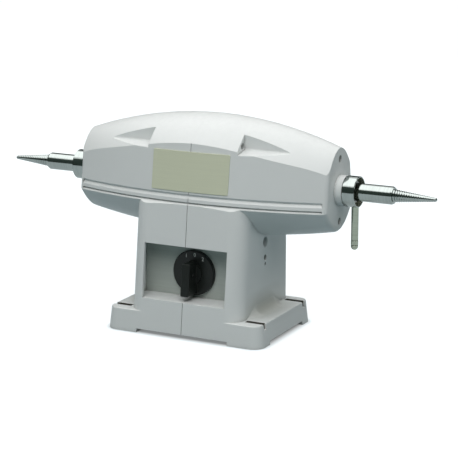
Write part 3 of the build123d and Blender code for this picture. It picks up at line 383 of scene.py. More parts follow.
def finish_nodes(material, *names):
    """Gives nodes of the frame a better material."""
    for name in names:
        for slot in frame["nodes"][name].material_slots:
            slot.material = material


# Shader node helpers

MIX_COLOURS = (6, 7)  # places of a Mix node's two colours
MIX_RESULT = 2  # and of the colour that it gives


def cleared_tree(holder):
    """The emptied node tree of a material or a world."""
    holder.use_nodes = True
    holder.node_tree.nodes.clear()
    return holder.node_tree


def group_tree(name, inputs, outputs):
    """A node group with named sockets; gives its tree and the sockets of its two ends."""
    tree = bpy.data.node_groups.new(name, "ShaderNodeTree")
    kinds = {"value": "NodeSocketFloat", "vector": "NodeSocketVector"}
    for label, kind, default in inputs:
        socket = tree.interface.new_socket(label, in_out="INPUT", socket_type=kinds[kind])
        socket.default_value = default
    for label, kind in outputs:
        tree.interface.new_socket(label, in_out="OUTPUT", socket_type=kinds[kind])
    return tree, tree.nodes.new("NodeGroupInput").outputs, tree.nodes.new("NodeGroupOutput").inputs


def add_node(tree, kind, values=(), **attributes):
    """A node with attributes and with socket values given by name or number."""
    node = tree.nodes.new("ShaderNode" + kind)
    for key, value in attributes.items():
        setattr(node, key, value)
    for key, value in dict(values).items():
        node.inputs[key].default_value = value
    return node


def wire(tree, *pairs):
    """Links pairs of sockets."""
    for source, target in pairs:
        tree.links.new(source, target)


def feed(tree, value, target):
    """Links a socket to a target, or sets the target to a plain value."""
    if isinstance(value, NodeSocket):
        wire(tree, (value, target))
    else:
        target.default_value = value


def object_place(tree):
    """A point's coordinates on its own piece."""
    return add_node(tree, "TexCoord").outputs["Object"]


def parts_of(tree, vector):
    """The X, Y and Z of a vector."""
    node = add_node(tree, "SeparateXYZ")
    wire(tree, (vector, node.inputs[0]))
    return node.outputs["X"], node.outputs["Y"], node.outputs["Z"]


def calc(tree, operation, first, second):
    """A math node on two sockets or numbers."""
    node = add_node(tree, "Math", operation=operation)
    feed(tree, first, node.inputs[0])
    feed(tree, second, node.inputs[1])
    return node.outputs["Value"]


def vector_calc(tree, operation, first, second=(0, 0, 0)):
    """A vector math node on sockets or plain vectors; gives a number or a vector."""
    node = add_node(tree, "VectorMath", operation=operation)
    feed(tree, first, node.inputs[0])
    feed(tree, second, node.inputs[1])
    gives_number = operation in ("LENGTH", "DOT_PRODUCT")
    return node.outputs["Value" if gives_number else "Vector"]


def ramp(tree, value, low, high, out_low=0.0, out_high=1.0):
    """Maps a value from one range to another, clamped."""
    limits = {"From Min": low, "From Max": high, "To Min": out_low, "To Max": out_high}
    node = add_node(tree, "MapRange", limits)
    wire(tree, (value, node.inputs["Value"]))
    return node.outputs["Result"]


def between(tree, mask, low, high):
    """A value that goes from low to high with a mask."""
    return ramp(tree, mask, 0.0, 1.0, low, high)


def noise(tree, vector, scale, detail, rough):
    """A noise texture on given coordinates; its scale is a socket or a number."""
    node = add_node(tree, "TexNoise", {"Detail": detail, "Roughness": rough})
    wire(tree, (vector, node.inputs["Vector"]))
    feed(tree, scale, node.inputs["Scale"])
    return node.outputs["Fac"]


def clouds(tree, vector, scale, detail, rough, low, high):
    """Noise drawn out to full contrast between two of its levels."""
    return ramp(tree, noise(tree, vector, scale, detail, rough), low, high)


def blend_colour(tree, factor, first, second):
    """Mixes two colours, each a socket or a plain colour."""
    node = add_node(tree, "Mix", data_type="RGBA")
    wire(tree, (factor, node.inputs["Factor"]))
    for index, value in zip(MIX_COLOURS, (first, second)):
        linked = isinstance(value, NodeSocket)
        feed(tree, value if linked else (*value, 1.0), node.inputs[index])
    return node.outputs[MIX_RESULT]


def lay_over(tree, base, colour, mask, share):
    """Lays a share of a colour over a base where a mask is."""
    return blend_colour(tree, calc(tree, "MULTIPLY", mask, share), base, colour)


# Shared effects, as node groups

EDGE_TURN = (0.995, 0.80)  # cosine of the softened to the true normal, at an edge's start and middle
CORNER_LIGHT = (0.70, 0.25)  # open share of the surroundings, at a corner's start and depth
LEVEL_FACE = (0.6, 1.0)  # upward part of the normal, on sloping and on level faces


def edge_wear_and_highlight_group():
    """Mask of the edges, from the softened normal against the true one, and that softened normal."""
    inputs = [("Radius", "value", 0.8 * MM), ("Patches Per Metre", "value", 90.0)]
    outputs = [("Edge", "value"), ("Worn", "value"), ("Normal", "vector")]
    tree, given, result = group_tree("Edge Wear And Highlight", inputs, outputs)
    soft = add_node(tree, "Bevel", samples=4)
    wire(tree, (given["Radius"], soft.inputs["Radius"]))
    true_normal = add_node(tree, "NewGeometry").outputs["True Normal"]
    edge = ramp(tree, vector_calc(tree, "DOT_PRODUCT", soft.outputs["Normal"], true_normal), *EDGE_TURN)
    patches = clouds(tree, object_place(tree), given["Patches Per Metre"], detail=5.0, rough=0.65,
                     low=0.45, high=0.65)
    worn = calc(tree, "MULTIPLY", edge, patches)
    wire(tree, (edge, result["Edge"]), (worn, result["Worn"]),
         (soft.outputs["Normal"], result["Normal"]))
    return tree


def corners_and_specks_group():
    """Mask of hidden corners and of specks on level faces: the housing lays painted shade on the corners and dark
    grime on the specks, the plastic and cast pieces pale settled grit on both.
    """
    inputs = [("Reach", "value", 8 * MM), ("Level", "value", 0.14)]
    tree, given, result = group_tree("Corners And Specks", inputs, [("Dust And Shade", "value")])
    corner = add_node(tree, "AmbientOcclusion", samples=6)
    wire(tree, (given["Reach"], corner.inputs["Distance"]))
    hidden = ramp(tree, corner.outputs["AO"], *CORNER_LIGHT)
    upward = parts_of(tree, add_node(tree, "NewGeometry").outputs["Normal"])[2]
    level = calc(tree, "MULTIPLY", ramp(tree, upward, *LEVEL_FACE), given["Level"])
    specks = clouds(tree, object_place(tree), scale=160.0, detail=6.0, rough=0.7, low=0.40, high=0.68)
    both = calc(tree, "MAXIMUM", hidden, calc(tree, "MULTIPLY", level, specks))
    wire(tree, (both, result["Dust And Shade"]))
    return tree


def skin_group():
    """Height of a fine moulded skin, slow patches of colour and smudges."""
    outputs = [("Height", "value"), ("Patches", "value"), ("Smudges", "value")]
    tree, given, result = group_tree("Moulded Skin", [("Width", "value", 0.9 * MM)], outputs)
    place = object_place(tree)
    fine = add_node(tree, "TexVoronoi", feature="SMOOTH_F1")
    scale = calc(tree, "DIVIDE", 1.0, given["Width"])
    patches = clouds(tree, place, scale=14.0, detail=4.0, rough=0.6, low=0.3, high=0.7)
    smudges = clouds(tree, place, scale=42.0, detail=6.0, rough=0.7, low=0.42, high=0.70)
    wire(tree, (place, fine.inputs["Vector"]), (scale, fine.inputs["Scale"]),
         (fine.outputs["Distance"], result["Height"]), (patches, result["Patches"]),
         (smudges, result["Smudges"]))
    return tree


def brushed_group():
    """Fine lines and broad streaks, on coordinates that are stretched across them."""
    inputs = [("Stretch", "vector", (1.0, 1.0, 1.0))]
    tree, given, result = group_tree("Brushed Lines", inputs, [("Lines", "value"), ("Streaks", "value")])
    mapping = add_node(tree, "Mapping")
    wire(tree, (object_place(tree), mapping.inputs["Vector"]),
         (given["Stretch"], mapping.inputs["Scale"]))
    lines = noise(tree, mapping.outputs["Vector"], scale=1.0, detail=4.0, rough=0.7)
    streaks = clouds(tree, mapping.outputs["Vector"], scale=0.22, detail=3.0, rough=0.6, low=0.35, high=0.65)
    wire(tree, (lines, result["Lines"]), (streaks, result["Streaks"]))
    return tree


SHARED = {"Edge Wear And Highlight": edge_wear_and_highlight_group, "Corners And Specks": corners_and_specks_group, "Moulded Skin": skin_group,
          "Brushed Lines": brushed_group}


def shared(tree, name, **values):
    """Places a shared effect in a material with its own values; gives its outputs."""
    group = add_node(tree, "Group")
    group.node_tree = bpy.data.node_groups.get(name) or SHARED[name]()
    for key, value in values.items():
        group.inputs[key.replace("_", " ").title()].default_value = value
    return group.outputs


# Masks that follow the shape of the machine

def folded_offset(tree, corner):
    """Coordinates folded onto one quarter of the machine, from a point there."""
    folded = vector_calc(tree, "ABSOLUTE", object_place(tree))
    return vector_calc(tree, "SUBTRACT", folded, corner)


def slot_shade_mask(tree):
    """One on the walls of the four bench slots, where painted shade goes; zero elsewhere."""
    half_length = BENCH_SLOTS["slot_length_mm"] / 2 * MM
    half_width = BENCH_SLOTS["hole_r_mm"] * MM
    offset = folded_offset(tree, (SLOT_COLUMN, SLOT_ROW, 0))
    x, y, z = parts_of(tree, vector_calc(tree, "ABSOLUTE", offset))
    along = ramp(tree, x, half_length + 2 * WALL_REACH, half_length + WALL_REACH)
    beside = ramp(tree, y, half_width + 2 * WALL_REACH, half_width + WALL_REACH)
    below = ramp(tree, z, SWITCH_AXIS.z, SWITCH_AXIS.z - WALL_REACH)
    return calc(tree, "MULTIPLY", beside, calc(tree, "MULTIPLY", along, below))


def foot_shade_mask(tree):
    """Where painted shade goes: one at the foot of the column's sides, fading over the base, up the column and to
    the slots.
    """
    values = settings().moulded
    offset = folded_offset(tree, (values.column_half, 0, values.base_top))
    across = vector_calc(tree, "MULTIPLY", offset, (1, 0, 1))
    near = ramp(tree, vector_calc(tree, "LENGTH", across), values.foot_shade_reach, 0.0)
    y = parts_of(tree, offset)[1]
    middle = ramp(tree, y, SLOT_ROW, SLOT_ROW / 3)
    return calc(tree, "MULTIPLY", near, middle)


def bore_mask(tree, radius):
    """One on the wall of a bore round the shaft axis, zero further out."""
    onto_axis = {"Location": (0, -SHAFT_AXIS.y, -SHAFT_AXIS.z), "Scale": (0, 1, 1)}
    across = add_node(tree, "Mapping", onto_axis)
    wire(tree, (object_place(tree), across.inputs["Vector"]))
    distance = vector_calc(tree, "LENGTH", across.outputs["Vector"])
    return ramp(tree, distance, radius + 3 * WALL_REACH, radius + WALL_REACH)


# Materials

ROUND_X = (3000.0, 40.0, 40.0)  # stretch of turning lines round X
ROUND_Z = (40.0, 40.0, 3000.0)  # and round Z
EVEN_SPECKLE = (900.0, 900.0, 900.0)
PLATE_BRUSH = (60.0, 900.0, 2600.0)
PANEL_BRUSH = (70.0, 900.0, 2200.0)
SHEET_EDGES = (2000.0, 60.0, 60.0)
WIRE_TURNS = (2400.0, 400.0, 400.0)
GRINDING = (3000.0, 120.0, 120.0)
LINE_LEVELS = (0.3, 0.7)  # levels of the brushed lines between which the roughness changes
LINE_ROUGH = 0.08  # and half of that change
SMUDGE_ROUGH = 0.12
BORE_ROUGH = 0.55
RUBBED_GREY = Vector((0.05, 0.05, 0.05))
PALE_DUST = (0.40, 0.39, 0.36)


def new_material(name, values=()):
    """A material whose shader has these plain values; gives the material, its tree and the shader."""
    material = bpy.data.materials.new(name)
    tree = cleared_tree(material)
    shader = add_node(tree, "BsdfPrincipled", values)
    output = add_node(tree, "OutputMaterial")
    wire(tree, (shader.outputs["BSDF"], output.inputs["Surface"]))
    return material, tree, shader


def coat(tree, shader, base, rough):
    """Gives the shader its colour and its roughness."""
    wire(tree, (base, shader.inputs["Base Color"]), (rough, shader.inputs["Roughness"]))


def relief(tree, shader, height, depth, normal=None):
    """Bump of a real depth, on a softened normal if one is given."""
    bump = add_node(tree, "Bump", {"Strength": 1.0, "Distance": depth})
    wire(tree, (height, bump.inputs["Height"]), (bump.outputs["Normal"], shader.inputs["Normal"]))
    if normal is not None:
        wire(tree, (normal, bump.inputs["Normal"]))


def housing_paint():
    """Satin pale paint on a moulded skin: rubbed edges, dark specks of grime, and painted shade in corners, holes,
    slots and at the column's foot.
    """
    values = settings().moulded
    material, tree, shader = new_material("housing_paint")
    paint = Vector(values.paint)
    dull = paint * 0.975
    skin = shared(tree, "Moulded Skin", width=values.grain)
    edge = shared(tree, "Edge Wear And Highlight", radius=values.soft_edge)
    dirt_and_shade = shared(tree, "Corners And Specks", level=0.08)
    base = blend_colour(tree, skin["Patches"], dull, paint)
    base = lay_over(tree, base, values.worn, edge["Worn"], share=0.35)
    # Painted shade in hidden corners and holes, near black, with dark specks of grime on level faces
    base = lay_over(tree, base, values.dirt_and_shade, dirt_and_shade["Dust And Shade"], share=0.75)
    # Painted shade at the foot of the column
    base = lay_over(tree, base, values.dust_and_shade, foot_shade_mask(tree), share=values.foot_shade)
    # Painted shade: the walls of the bench slots turn near black
    base = blend_colour(tree, slot_shade_mask(tree), base, values.dirt_and_shade)
    coat(tree, shader, base, between(tree, skin["Smudges"], low=0.32, high=0.44))
    relief(tree, shader, skin["Height"], depth=0.03 * MM, normal=edge["Normal"])
    return material


def chrome_plating(name, colour, stretch, bore=0.0):
    """Polished plating with faint turning lines and fingermarks, and a dull bore of a given radius."""
    material, tree, shader = new_material(name, {"Metallic": 1.0})
    dark = Vector(colour) * 0.92
    light = Vector(colour) * 1.06
    lines = shared(tree, "Brushed Lines", stretch=stretch)
    skin = shared(tree, "Moulded Skin", width=3 * MM)
    base = blend_colour(tree, lines["Streaks"], dark, light)
    rough = between(tree, skin["Smudges"], low=0.07, high=0.14)
    if bore:
        inside = bore_mask(tree, bore)
        base = blend_colour(tree, inside, base, settings().metal.bore)
        rough = calc(tree, "MAXIMUM", rough, calc(tree, "MULTIPLY", inside, BORE_ROUGH))
    coat(tree, shader, base, rough)
    relief(tree, shader, lines["Lines"], depth=0.004 * MM)
    return material


def brushed_metal(name, colour, stretch, roughness, metallic=1.0, depth=0.012 * MM, contrast=0.10):
    """Sheet metal brushed along one direction, with darker spots and a painted highlight along its edges."""
    material, tree, shader = new_material(name, {"Metallic": metallic})
    colour = Vector(colour)
    dark = colour * (1 - contrast)
    light = colour * (1 + contrast / 2)
    spots = colour * 0.9
    # Colour of the painted edge highlight
    edge_highlight = colour * 1.25
    lines = shared(tree, "Brushed Lines", stretch=stretch)
    skin = shared(tree, "Moulded Skin", width=2 * MM)
    edge = shared(tree, "Edge Wear And Highlight", radius=0.4 * MM)
    base = blend_colour(tree, lines["Streaks"], dark, light)
    base = lay_over(tree, base, spots, skin["Patches"], share=2 * contrast)
    # Painted highlight: every edge lighter, as if it caught the light
    base = lay_over(tree, base, edge_highlight, edge["Edge"], share=0.5)
    rough = ramp(tree, lines["Lines"], *LINE_LEVELS, roughness - LINE_ROUGH, roughness + LINE_ROUGH)
    coat(tree, shader, base, rough)
    relief(tree, shader, lines["Lines"], depth, edge["Normal"])
    return material


def grained_skin(name, colour, roughness, grain=0.5 * MM, values=()):
    """Moulded or cast surface with a fine skin, rubbed edges and some dust."""
    material, tree, shader = new_material(name, values)
    colour = Vector(colour)
    dark = colour * 0.85
    light = colour * 1.1
    skin = shared(tree, "Moulded Skin", width=grain)
    edge = shared(tree, "Edge Wear And Highlight", radius=0.4 * MM, patches_per_metre=260.0)
    dust_and_shade = shared(tree, "Corners And Specks", reach=3 * MM)
    base = blend_colour(tree, skin["Patches"], dark, light)
    base = lay_over(tree, base, colour + RUBBED_GREY, edge["Worn"], share=0.5)
    base = lay_over(tree, base, PALE_DUST, dust_and_shade["Dust And Shade"], share=0.05)
    coat(tree, shader, base, between(tree, skin["Smudges"], roughness, roughness + SMUDGE_ROUGH))
    relief(tree, shader, skin["Height"], depth=0.015 * MM, normal=edge["Normal"])
    return material


def printed_ink():
    """Slightly worn pale ink."""
    material, tree, shader = new_material("printed_ink")
    ink = Vector(settings().dial.ink)
    worn = ink * 0.8
    skin = shared(tree, "Moulded Skin", width=0.4 * MM)
    base = blend_colour(tree, skin["Smudges"], ink, worn)
    coat(tree, shader, base, between(tree, skin["Patches"], low=0.5, high=0.65))
    return material


def zinc_plating(name):
    """Dull zinc plating."""
    return brushed_metal(name, settings().metal.zinc, EVEN_SPECKLE, roughness=0.36)


# Operators, one for each piece or group of like pieces

class FinishHousing(Operator):
    """Paints both halves of the moulded housing"""
    bl_idname = "polishing_motor.finish_housing"
    bl_label = "Paint the housing"

    def execute(self, context):
        finish_nodes(housing_paint(), "left_housing", "right_housing")
        return {"FINISHED"}


class FinishPlate(Operator):
    """Gives the bare plate on the front its satin finish"""
    bl_idname = "polishing_motor.finish_plate"
    bl_label = "Finish the plate"

    def execute(self, context):
        satin = brushed_metal("plate_satin", settings().metal.plate, PLATE_BRUSH, roughness=0.46,
                              metallic=0.3, depth=0.0015 * MM, contrast=0.015)
        finish_nodes(satin, "name_plate")
        return {"FINISHED"}


class FinishSwitch(Operator):
    """Finishes the switch panel, the dial, the knob and the switch behind them"""
    bl_idname = "polishing_motor.finish_switch"
    bl_label = "Finish the switch"

    def execute(self, context):
        values = settings().moulded
        panel = brushed_metal("panel_brushed", settings().metal.panel, PANEL_BRUSH, roughness=0.50,
                              metallic=0.05, depth=0.003 * MM, contrast=0.04)
        black = grained_skin("black_plastic_skin", values.black, roughness=0.32,
                             values={"Specular IOR Level": 0.3})
        grey = grained_skin("grey_plastic_skin", values.grey, roughness=0.45)
        finish_nodes(panel, "switch_panel")
        finish_nodes(black, "switch_dial", "switch_knob", "cable_gland", "gland_nut")
        finish_nodes(grey, "switch_body", "terminal_block", "capacitor")
        return {"FINISHED"}


class FinishMotor(Operator):
    """Finishes the motor, the bearings and the fasteners inside"""
    bl_idname = "polishing_motor.finish_motor"
    bl_label = "Finish the motor"

    def execute(self, context):
        values = settings().metal
        cast = grained_skin("cast_skin", values.cast, roughness=0.42, grain=1.4 * MM,
                            values={"Metallic": 1.0})
        stack = brushed_metal("sheet_stack", values.sheet, SHEET_EDGES, roughness=0.45, depth=0.06 * MM)
        copper = brushed_metal("enamelled_wire", values.winding, WIRE_TURNS, roughness=0.3, depth=0.12 * MM)
        ground = brushed_metal("ground_steel", values.ground, GRINDING, roughness=0.22, depth=0.004 * MM)
        zinc = zinc_plating("zinc_plating")
        finish_nodes(cast, "left_end_bell", "right_end_bell", "rotor_end_rings")
        finish_nodes(stack, "motor_frame", "stator_core", "rotor_core")
        finish_nodes(copper, "stator_windings")
        finish_nodes(ground, "motor_shaft", "left_bearing_outer", "right_bearing_outer", "left_bearing_inner",
                     "right_bearing_inner", "bearing_balls", "bearing_spring")
        finish_nodes(zinc, "motor_rods", "motor_nuts", "capacitor_clamp", "earth_screw", "base_plate",
                     "ring_clips", "switch_nut", "switch_spindle", "knob_screw", "upper_housing_nuts",
                     "lower_housing_nut", "base_plate_screws")
        return {"FINISHED"}


class FinishRings(Operator):
    """Plates the release ring and the collar"""
    bl_idname = "polishing_motor.finish_rings"
    bl_label = "Plate the rings"

    def execute(self, context):
        values = settings().metal
        plating = chrome_plating("ring_chrome", values.chrome, ROUND_X, values.ring_bore)
        finish_nodes(plating, "release_ring", "left_collar")
        return {"FINISHED"}


SPARE_TURNS = 2  # turns of thread that the two cuts take off again
BLUNT_TIP = 0.5  # length of the blunt tip, by the tip's radius, and how far it narrows
FASTENER_FACETS = 48


def threaded_taper(name, values, reach):
    """A tapering screw along +Z from the origin, with a blunt tip."""
    valley = values.root - values.thread_depth
    blunt = BLUNT_TIP * values.tip
    piece = outline(name, ((valley, -values.pitch), (values.root, -values.pitch / 2), (valley, 0)))
    turns = math.ceil(reach / values.pitch) + SPARE_TURNS
    apply_modifier(piece, "SCREW", axis="Z", angle=FULL_TURN, screw_offset=values.pitch, iterations=turns,
                   steps=values.facets, render_steps=values.facets, use_merge_vertices=True,
                   merge_threshold=MERGE)
    trim(piece, 0.0, 1)
    trim(piece, reach - blunt, -1)
    bpy.ops.object.mode_set(mode="EDIT")
    bpy.ops.mesh.extrude_region_move(TRANSFORM_OT_translate={"value": (0, 0, blunt)})
    bpy.ops.transform.resize(value=(BLUNT_TIP, BLUNT_TIP, 1.0))
    bpy.ops.object.mode_set(mode="OBJECT")
    apply_modifier(piece, "SIMPLE_DEFORM", deform_method="TAPER", deform_axis="Z",
                   factor=values.tip / values.root - 1)
    close_mesh(piece)
    return piece


def spindle_piece(node, side):
    """Sleeve with a threaded taper; the left one has the opposite hand."""
    values = settings().spindle
    low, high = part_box(node)
    radius = (high.y - low.y) / 2
    points = ((0, values.bore_depth), (values.bore, values.bore_depth), (values.bore, 0), (radius, 0),
              (radius, values.sleeve - values.chamfer), (radius - values.chamfer / 2, values.sleeve),
              (0, values.sleeve))
    piece = turned(node.replace("spindle", "threaded_spindle"), points, values.facets)
    taper = threaded_taper("taper", values, high.x - low.x - values.sleeve - 2 * OVERLAP)
    taper.location.z = values.sleeve - OVERLAP
    apply_place(taper)
    combine(piece, taper, "UNION")
    if side < 0:
        piece.scale.x = -1
        apply_place(piece)
        close_mesh(piece)
    shade(piece, THREAD_EDGE)
    start = low.x if side > 0 else high.x
    lay_along_x(piece, (start, SHAFT_AXIS.y, SHAFT_AXIS.z), side)
    return piece


class BuildSpindles(Operator):
    """Turns both spindles with their threaded tapers"""
    bl_idname = "polishing_motor.build_spindles"
    bl_label = "Turn the spindles"

    def execute(self, context):
        plating = chrome_plating("spindle_chrome", settings().metal.chrome, ROUND_X)
        for node, side in (("left_spindle", -1), ("right_spindle", 1)):
            mount_piece(spindle_piece(node, side), "spindle", plating, "chrome", node)
        return {"FINISHED"}


class BuildLever(Operator):
    """Turns the release lever with its domed end and knurled band"""
    bl_idname = "polishing_motor.build_lever"
    bl_label = "Turn the lever"
    dome_steps = 10
    knurl_margin = 1.5  # widths of a groove by which the ridges are shorter than the band

    def execute(self, context):
        values = settings().lever
        low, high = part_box("release_lever")
        radius = (high.y - low.y) / 2
        section = self.section(values, radius, high.z - low.z - values.sink)
        piece = turned("knurled_lever", section, settings().spindle.facets)
        join(piece, self.knurl(values, radius))
        piece.location = ((low.x + high.x) / 2, (low.y + high.y) / 2, low.z)
        apply_place(piece)
        shade(piece)
        plating = chrome_plating("lever_chrome", settings().metal.lever, ROUND_Z)
        mount_piece(piece, "release", plating, "chrome", "release_lever")
        return {"FINISHED"}

    def section(self, values, radius, top):
        """Half section with a domed end and a groove at each end of the band."""
        dome = quarter_steps(self.dome_steps)
        points = [(radius * math.sin(turn), radius * (1 - math.cos(turn))) for turn in dome]
        half = values.groove / 2
        for height in (values.band_low, values.band_high):
            points += [(radius, height - half), (radius - half, height), (radius, height + half)]
        return points + [(radius, top), (0, top)]

    def knurl(self, values, radius):
        """Upright ridges round the lever between the two grooves."""
        tall = values.band_high - values.band_low - self.knurl_margin * values.groove
        middle = (values.band_high + values.band_low) / 2
        ridge = bar("ridges", (values.ridge, values.ridge, tall), (0, 0, 0))
        ridge.rotation_euler = (0, 0, QUARTER_TURN / 2)
        ridge.location = (radius - values.ridge / 2, 0, middle)
        apply_place(ridge)
        spin(ridge, values.ridges, copies=True)
        close_mesh(ridge)
        return ridge


class BuildScrews(Operator):
    """Makes the four cross-recess screws of the end faces"""
    bl_idname = "polishing_motor.build_screws"
    bl_label = "Make the end screws"
    dome_steps = 8
    head_side = 0.4  # upright share of the height of a head, under its dome
    recess_span = 1.2  # length of the cross recess, as a share of the head's radius

    def execute(self, context):
        low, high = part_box("end_screws")
        radius = (high.y - low.y) / 2
        seat = settings().fastener.screw_seat
        first = self.screw(radius)
        twins = []
        for side, face in ((-1, low.x + seat), (1, high.x - seat)):
            for height in (low.z + radius, high.z - radius):
                twin = copy_of(first, "end_screw_heads")
                lay_along_x(twin, (face, SHAFT_AXIS.y, height), side)
                twins.append(twin)
        bpy.data.objects.remove(first, do_unlink=True)
        piece = join(*twins)
        mount_piece(piece, "machine", zinc_plating("screw_zinc"), "zinc", "end_screws")
        return {"FINISHED"}

    def screw(self, radius):
        """One screw along +Z with its seat at the origin."""
        values = settings().fastener
        shank = radius / 2
        head = values.screw_head
        side = head * self.head_side
        points = [(0, -values.screw_shank), (shank, -values.screw_shank), (shank, 0), (radius, 0)]
        for turn in quarter_steps(self.dome_steps):
            points.append((radius * math.cos(turn), side + (head - side) * math.sin(turn)))
        piece = turned("screw", points, FASTENER_FACETS)
        span = self.recess_span * radius
        for size in ((span, values.recess, head), (values.recess, span, head)):
            combine(piece, bar("cut", size, (0, 0, head)), "DIFFERENCE")
        shade(piece)
        return piece


class BuildBolts(Operator):
    """Makes the socket bolts that pull the two housing halves together"""
    bl_idname = "polishing_motor.build_bolts"
    bl_label = "Make the housing bolts"
    rim_share = 0.1  # chamfer of a head, as a share of its radius
    socket_share = 0.6  # radius of its socket, likewise

    def execute(self, context):
        values = settings().fastener
        # Nearly black bolts: painted shade for their deep holes
        zinc = brushed_metal("dark_bolt_shade", settings().metal.bolt_painted_shade, EVEN_SPECKLE, roughness=0.45)
        low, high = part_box("upper_housing_bolts")
        radius = (high.z - low.z) / 2
        front = self.bolt(low, high, low.y + radius, values.upper_head, values.upper_shank)
        rear = self.bolt(low, high, high.y - radius, values.upper_head, values.upper_shank)
        upper = join(front, rear)
        upper.name = "upper_socket_bolts"
        mount_piece(upper, "machine", zinc, "zinc", "upper_housing_bolts")
        low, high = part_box("lower_housing_bolt")
        lower = self.bolt(low, high, (low.y + high.y) / 2, values.lower_head, values.lower_shank)
        lower.name = "lower_socket_bolt"
        mount_piece(lower, "machine", zinc, "zinc", "lower_housing_bolt")
        return {"FINISHED"}

    def bolt(self, low, high, y, head, shank):
        """One bolt from end to end of its node's box, with a six-sided socket in its head."""
        radius = (high.z - low.z) / 2
        reach = high.x - low.x
        rim = self.rim_share * radius
        points = ((0, 0), (shank, 0), (shank, reach - head), (radius, reach - head), (radius, reach - rim),
                  (radius - rim, reach), (0, reach))
        piece = turned("socket_bolt", points, FASTENER_FACETS)
        deselect()
        bpy.ops.mesh.primitive_cylinder_add(vertices=6, radius=self.socket_share * radius, depth=head,
                                            location=(0, 0, reach))
        socket = bpy.context.object
        apply_place(socket)
        combine(piece, socket, "DIFFERENCE")
        shade(piece)
        lay_along_x(piece, (low.x, y, (low.z + high.z) / 2), 1)
        return piece


class MarkDial(Operator):
    """Prints the numbers 1, 0 and 2 on the dial"""
    bl_idname = "polishing_motor.mark_dial"
    bl_label = "Mark the dial"
    digit_share = 0.7  # height of a digit, as a share of the text size
    ink_height = 0.06 * MM  # how far the ink stands out of the dial

    def execute(self, context):
        values = settings().dial
        ink = printed_ink()
        for digit, position in (("1", -1), ("0", 0), ("2", 1)):
            piece = self.number(digit, position * values.step + values.skew)
            mount_piece(piece, "machine", ink, "housing_white")
        return {"FINISHED"}

    def number(self, digit, turn):
        """One upright number on the face of the dial, at an angle round the switch axis."""
        values = settings().dial
        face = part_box("switch_dial")[0].y
        deselect()
        bpy.ops.object.text_add()
        text = bpy.context.object.data
        text.body = digit
        text.size = values.numeral / self.digit_share
        text.align_x = "CENTER"
        text.align_y = "CENTER"
        text.extrude = self.ink_height
        bpy.ops.object.convert(target="MESH")
        piece = named("dial_number_" + digit)
        piece.rotation_euler = (QUARTER_TURN, 0, 0)
        out = Vector((math.sin(turn), 0, math.cos(turn))) * values.circle
        piece.location = Vector((SWITCH_AXIS.x, face, SWITCH_AXIS.z)) + out
        apply_place(piece)
        close_mesh(piece)
        return piece


class BuildStage(Operator):
    """Sets up the floor, the backdrop cards, the light and the camera"""
    bl_idname = "polishing_motor.build_stage"
    bl_label = "Build the studio"

    def execute(self, context):
        build_floor()
        build_card("front_card", -math.pi, CARD_SEAM, height=2.9)
        build_card("rear_card", CARD_SEAM, math.pi, height=1.9)
        build_sky()
        build_lights()
        build_camera()
        context.scene.view_settings.view_transform = "Standard"
        return {"FINISHED"}


# Studio

WHITE = (1.0, 1.0, 1.0, 1.0)
FLOOR_SIZE = 24.0
FLOOR_FACES = 8
GLOW_REACH = (0.35, 1.3)  # distances from the machine where the floor starts to turn white and is white
CARD_DISTANCE = 2.6
CARD_SEAM = math.radians(50)  # where the front card ends and the rear card starts
CARD_STEPS = 24
CARD_ROUGH = 0.9
SENSOR = 36.0  # width in millimetres


def ray_masks(tree):
    """One for rays from the camera, and one for rays that are mirrored or let through."""
    path = add_node(tree, "LightPath")
    mirrored = calc(tree, "MAXIMUM", path.outputs["Is Glossy Ray"], path.outputs["Is Transmission Ray"])
    return path.outputs["Is Camera Ray"], mirrored


def contact_shadow(tree):
    """Share of the floor's white: low under the base, rising to one over a short way outside it."""
    values = settings().studio
    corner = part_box("base_plate")[1]
    lip = -CAD_BOX[0].y - corner.y - values.contact_round
    beyond = folded_offset(tree, (corner.x + lip, corner.y + lip, corner.z))
    distance = vector_calc(tree, "LENGTH", vector_calc(tree, "MAXIMUM", beyond))
    inner = values.contact_round - values.contact / 2
    outer = values.contact_round + values.contact / 2
    return ramp(tree, distance, inner, outer, values.contact_white, 1.0)


def floor_light(tree):
    """White that the floor adds: where the camera sees it, less near the machine, and in mirrors."""
    values = settings().studio
    away = vector_calc(tree, "LENGTH", object_place(tree))
    white = ramp(tree, away, *GLOW_REACH, values.floor_glow, 1.0)
    white = calc(tree, "MULTIPLY", white, contact_shadow(tree))
    camera, mirrored = ray_masks(tree)
    return calc(tree, "ADD", calc(tree, "MULTIPLY", camera, white),
                calc(tree, "MULTIPLY", mirrored, values.mirror_glow))


def build_floor():
    """Pale floor that takes the shadow and is white where it is lit."""
    deselect()
    bpy.ops.mesh.primitive_grid_add(x_subdivisions=FLOOR_FACES, y_subdivisions=FLOOR_FACES, size=FLOOR_SIZE)
    floor = named("floor")
    material = bpy.data.materials.new("pale_floor")
    tree = cleared_tree(material)
    grey = add_node(tree, "BsdfDiffuse", {"Color": (*settings().studio.floor, 1.0)})
    glow = add_node(tree, "Emission", {"Color": WHITE})
    both = add_node(tree, "AddShader")
    output = add_node(tree, "OutputMaterial")
    wire(tree, (floor_light(tree), glow.inputs["Strength"]), (grey.outputs["BSDF"], both.inputs[0]),
         (glow.outputs["Emission"], both.inputs[1]), (both.outputs["Shader"], output.inputs["Surface"]))
    floor.data.materials.append(material)


def build_card(name, start, end, height):
    """Dark curved card round the machine, out of the picture, that the metal mirrors."""
    card = outline(name, ((CARD_DISTANCE, 0), (CARD_DISTANCE, height)))
    card.rotation_euler.z = start
    apply_place(card)
    spin(card, CARD_STEPS, start - end)
    cloth = {"Base Color": (*settings().studio.card, 1.0), "Roughness": CARD_ROUGH}
    card.data.materials.append(new_material(name + "_cloth", cloth)[0])
    card.visible_camera = False


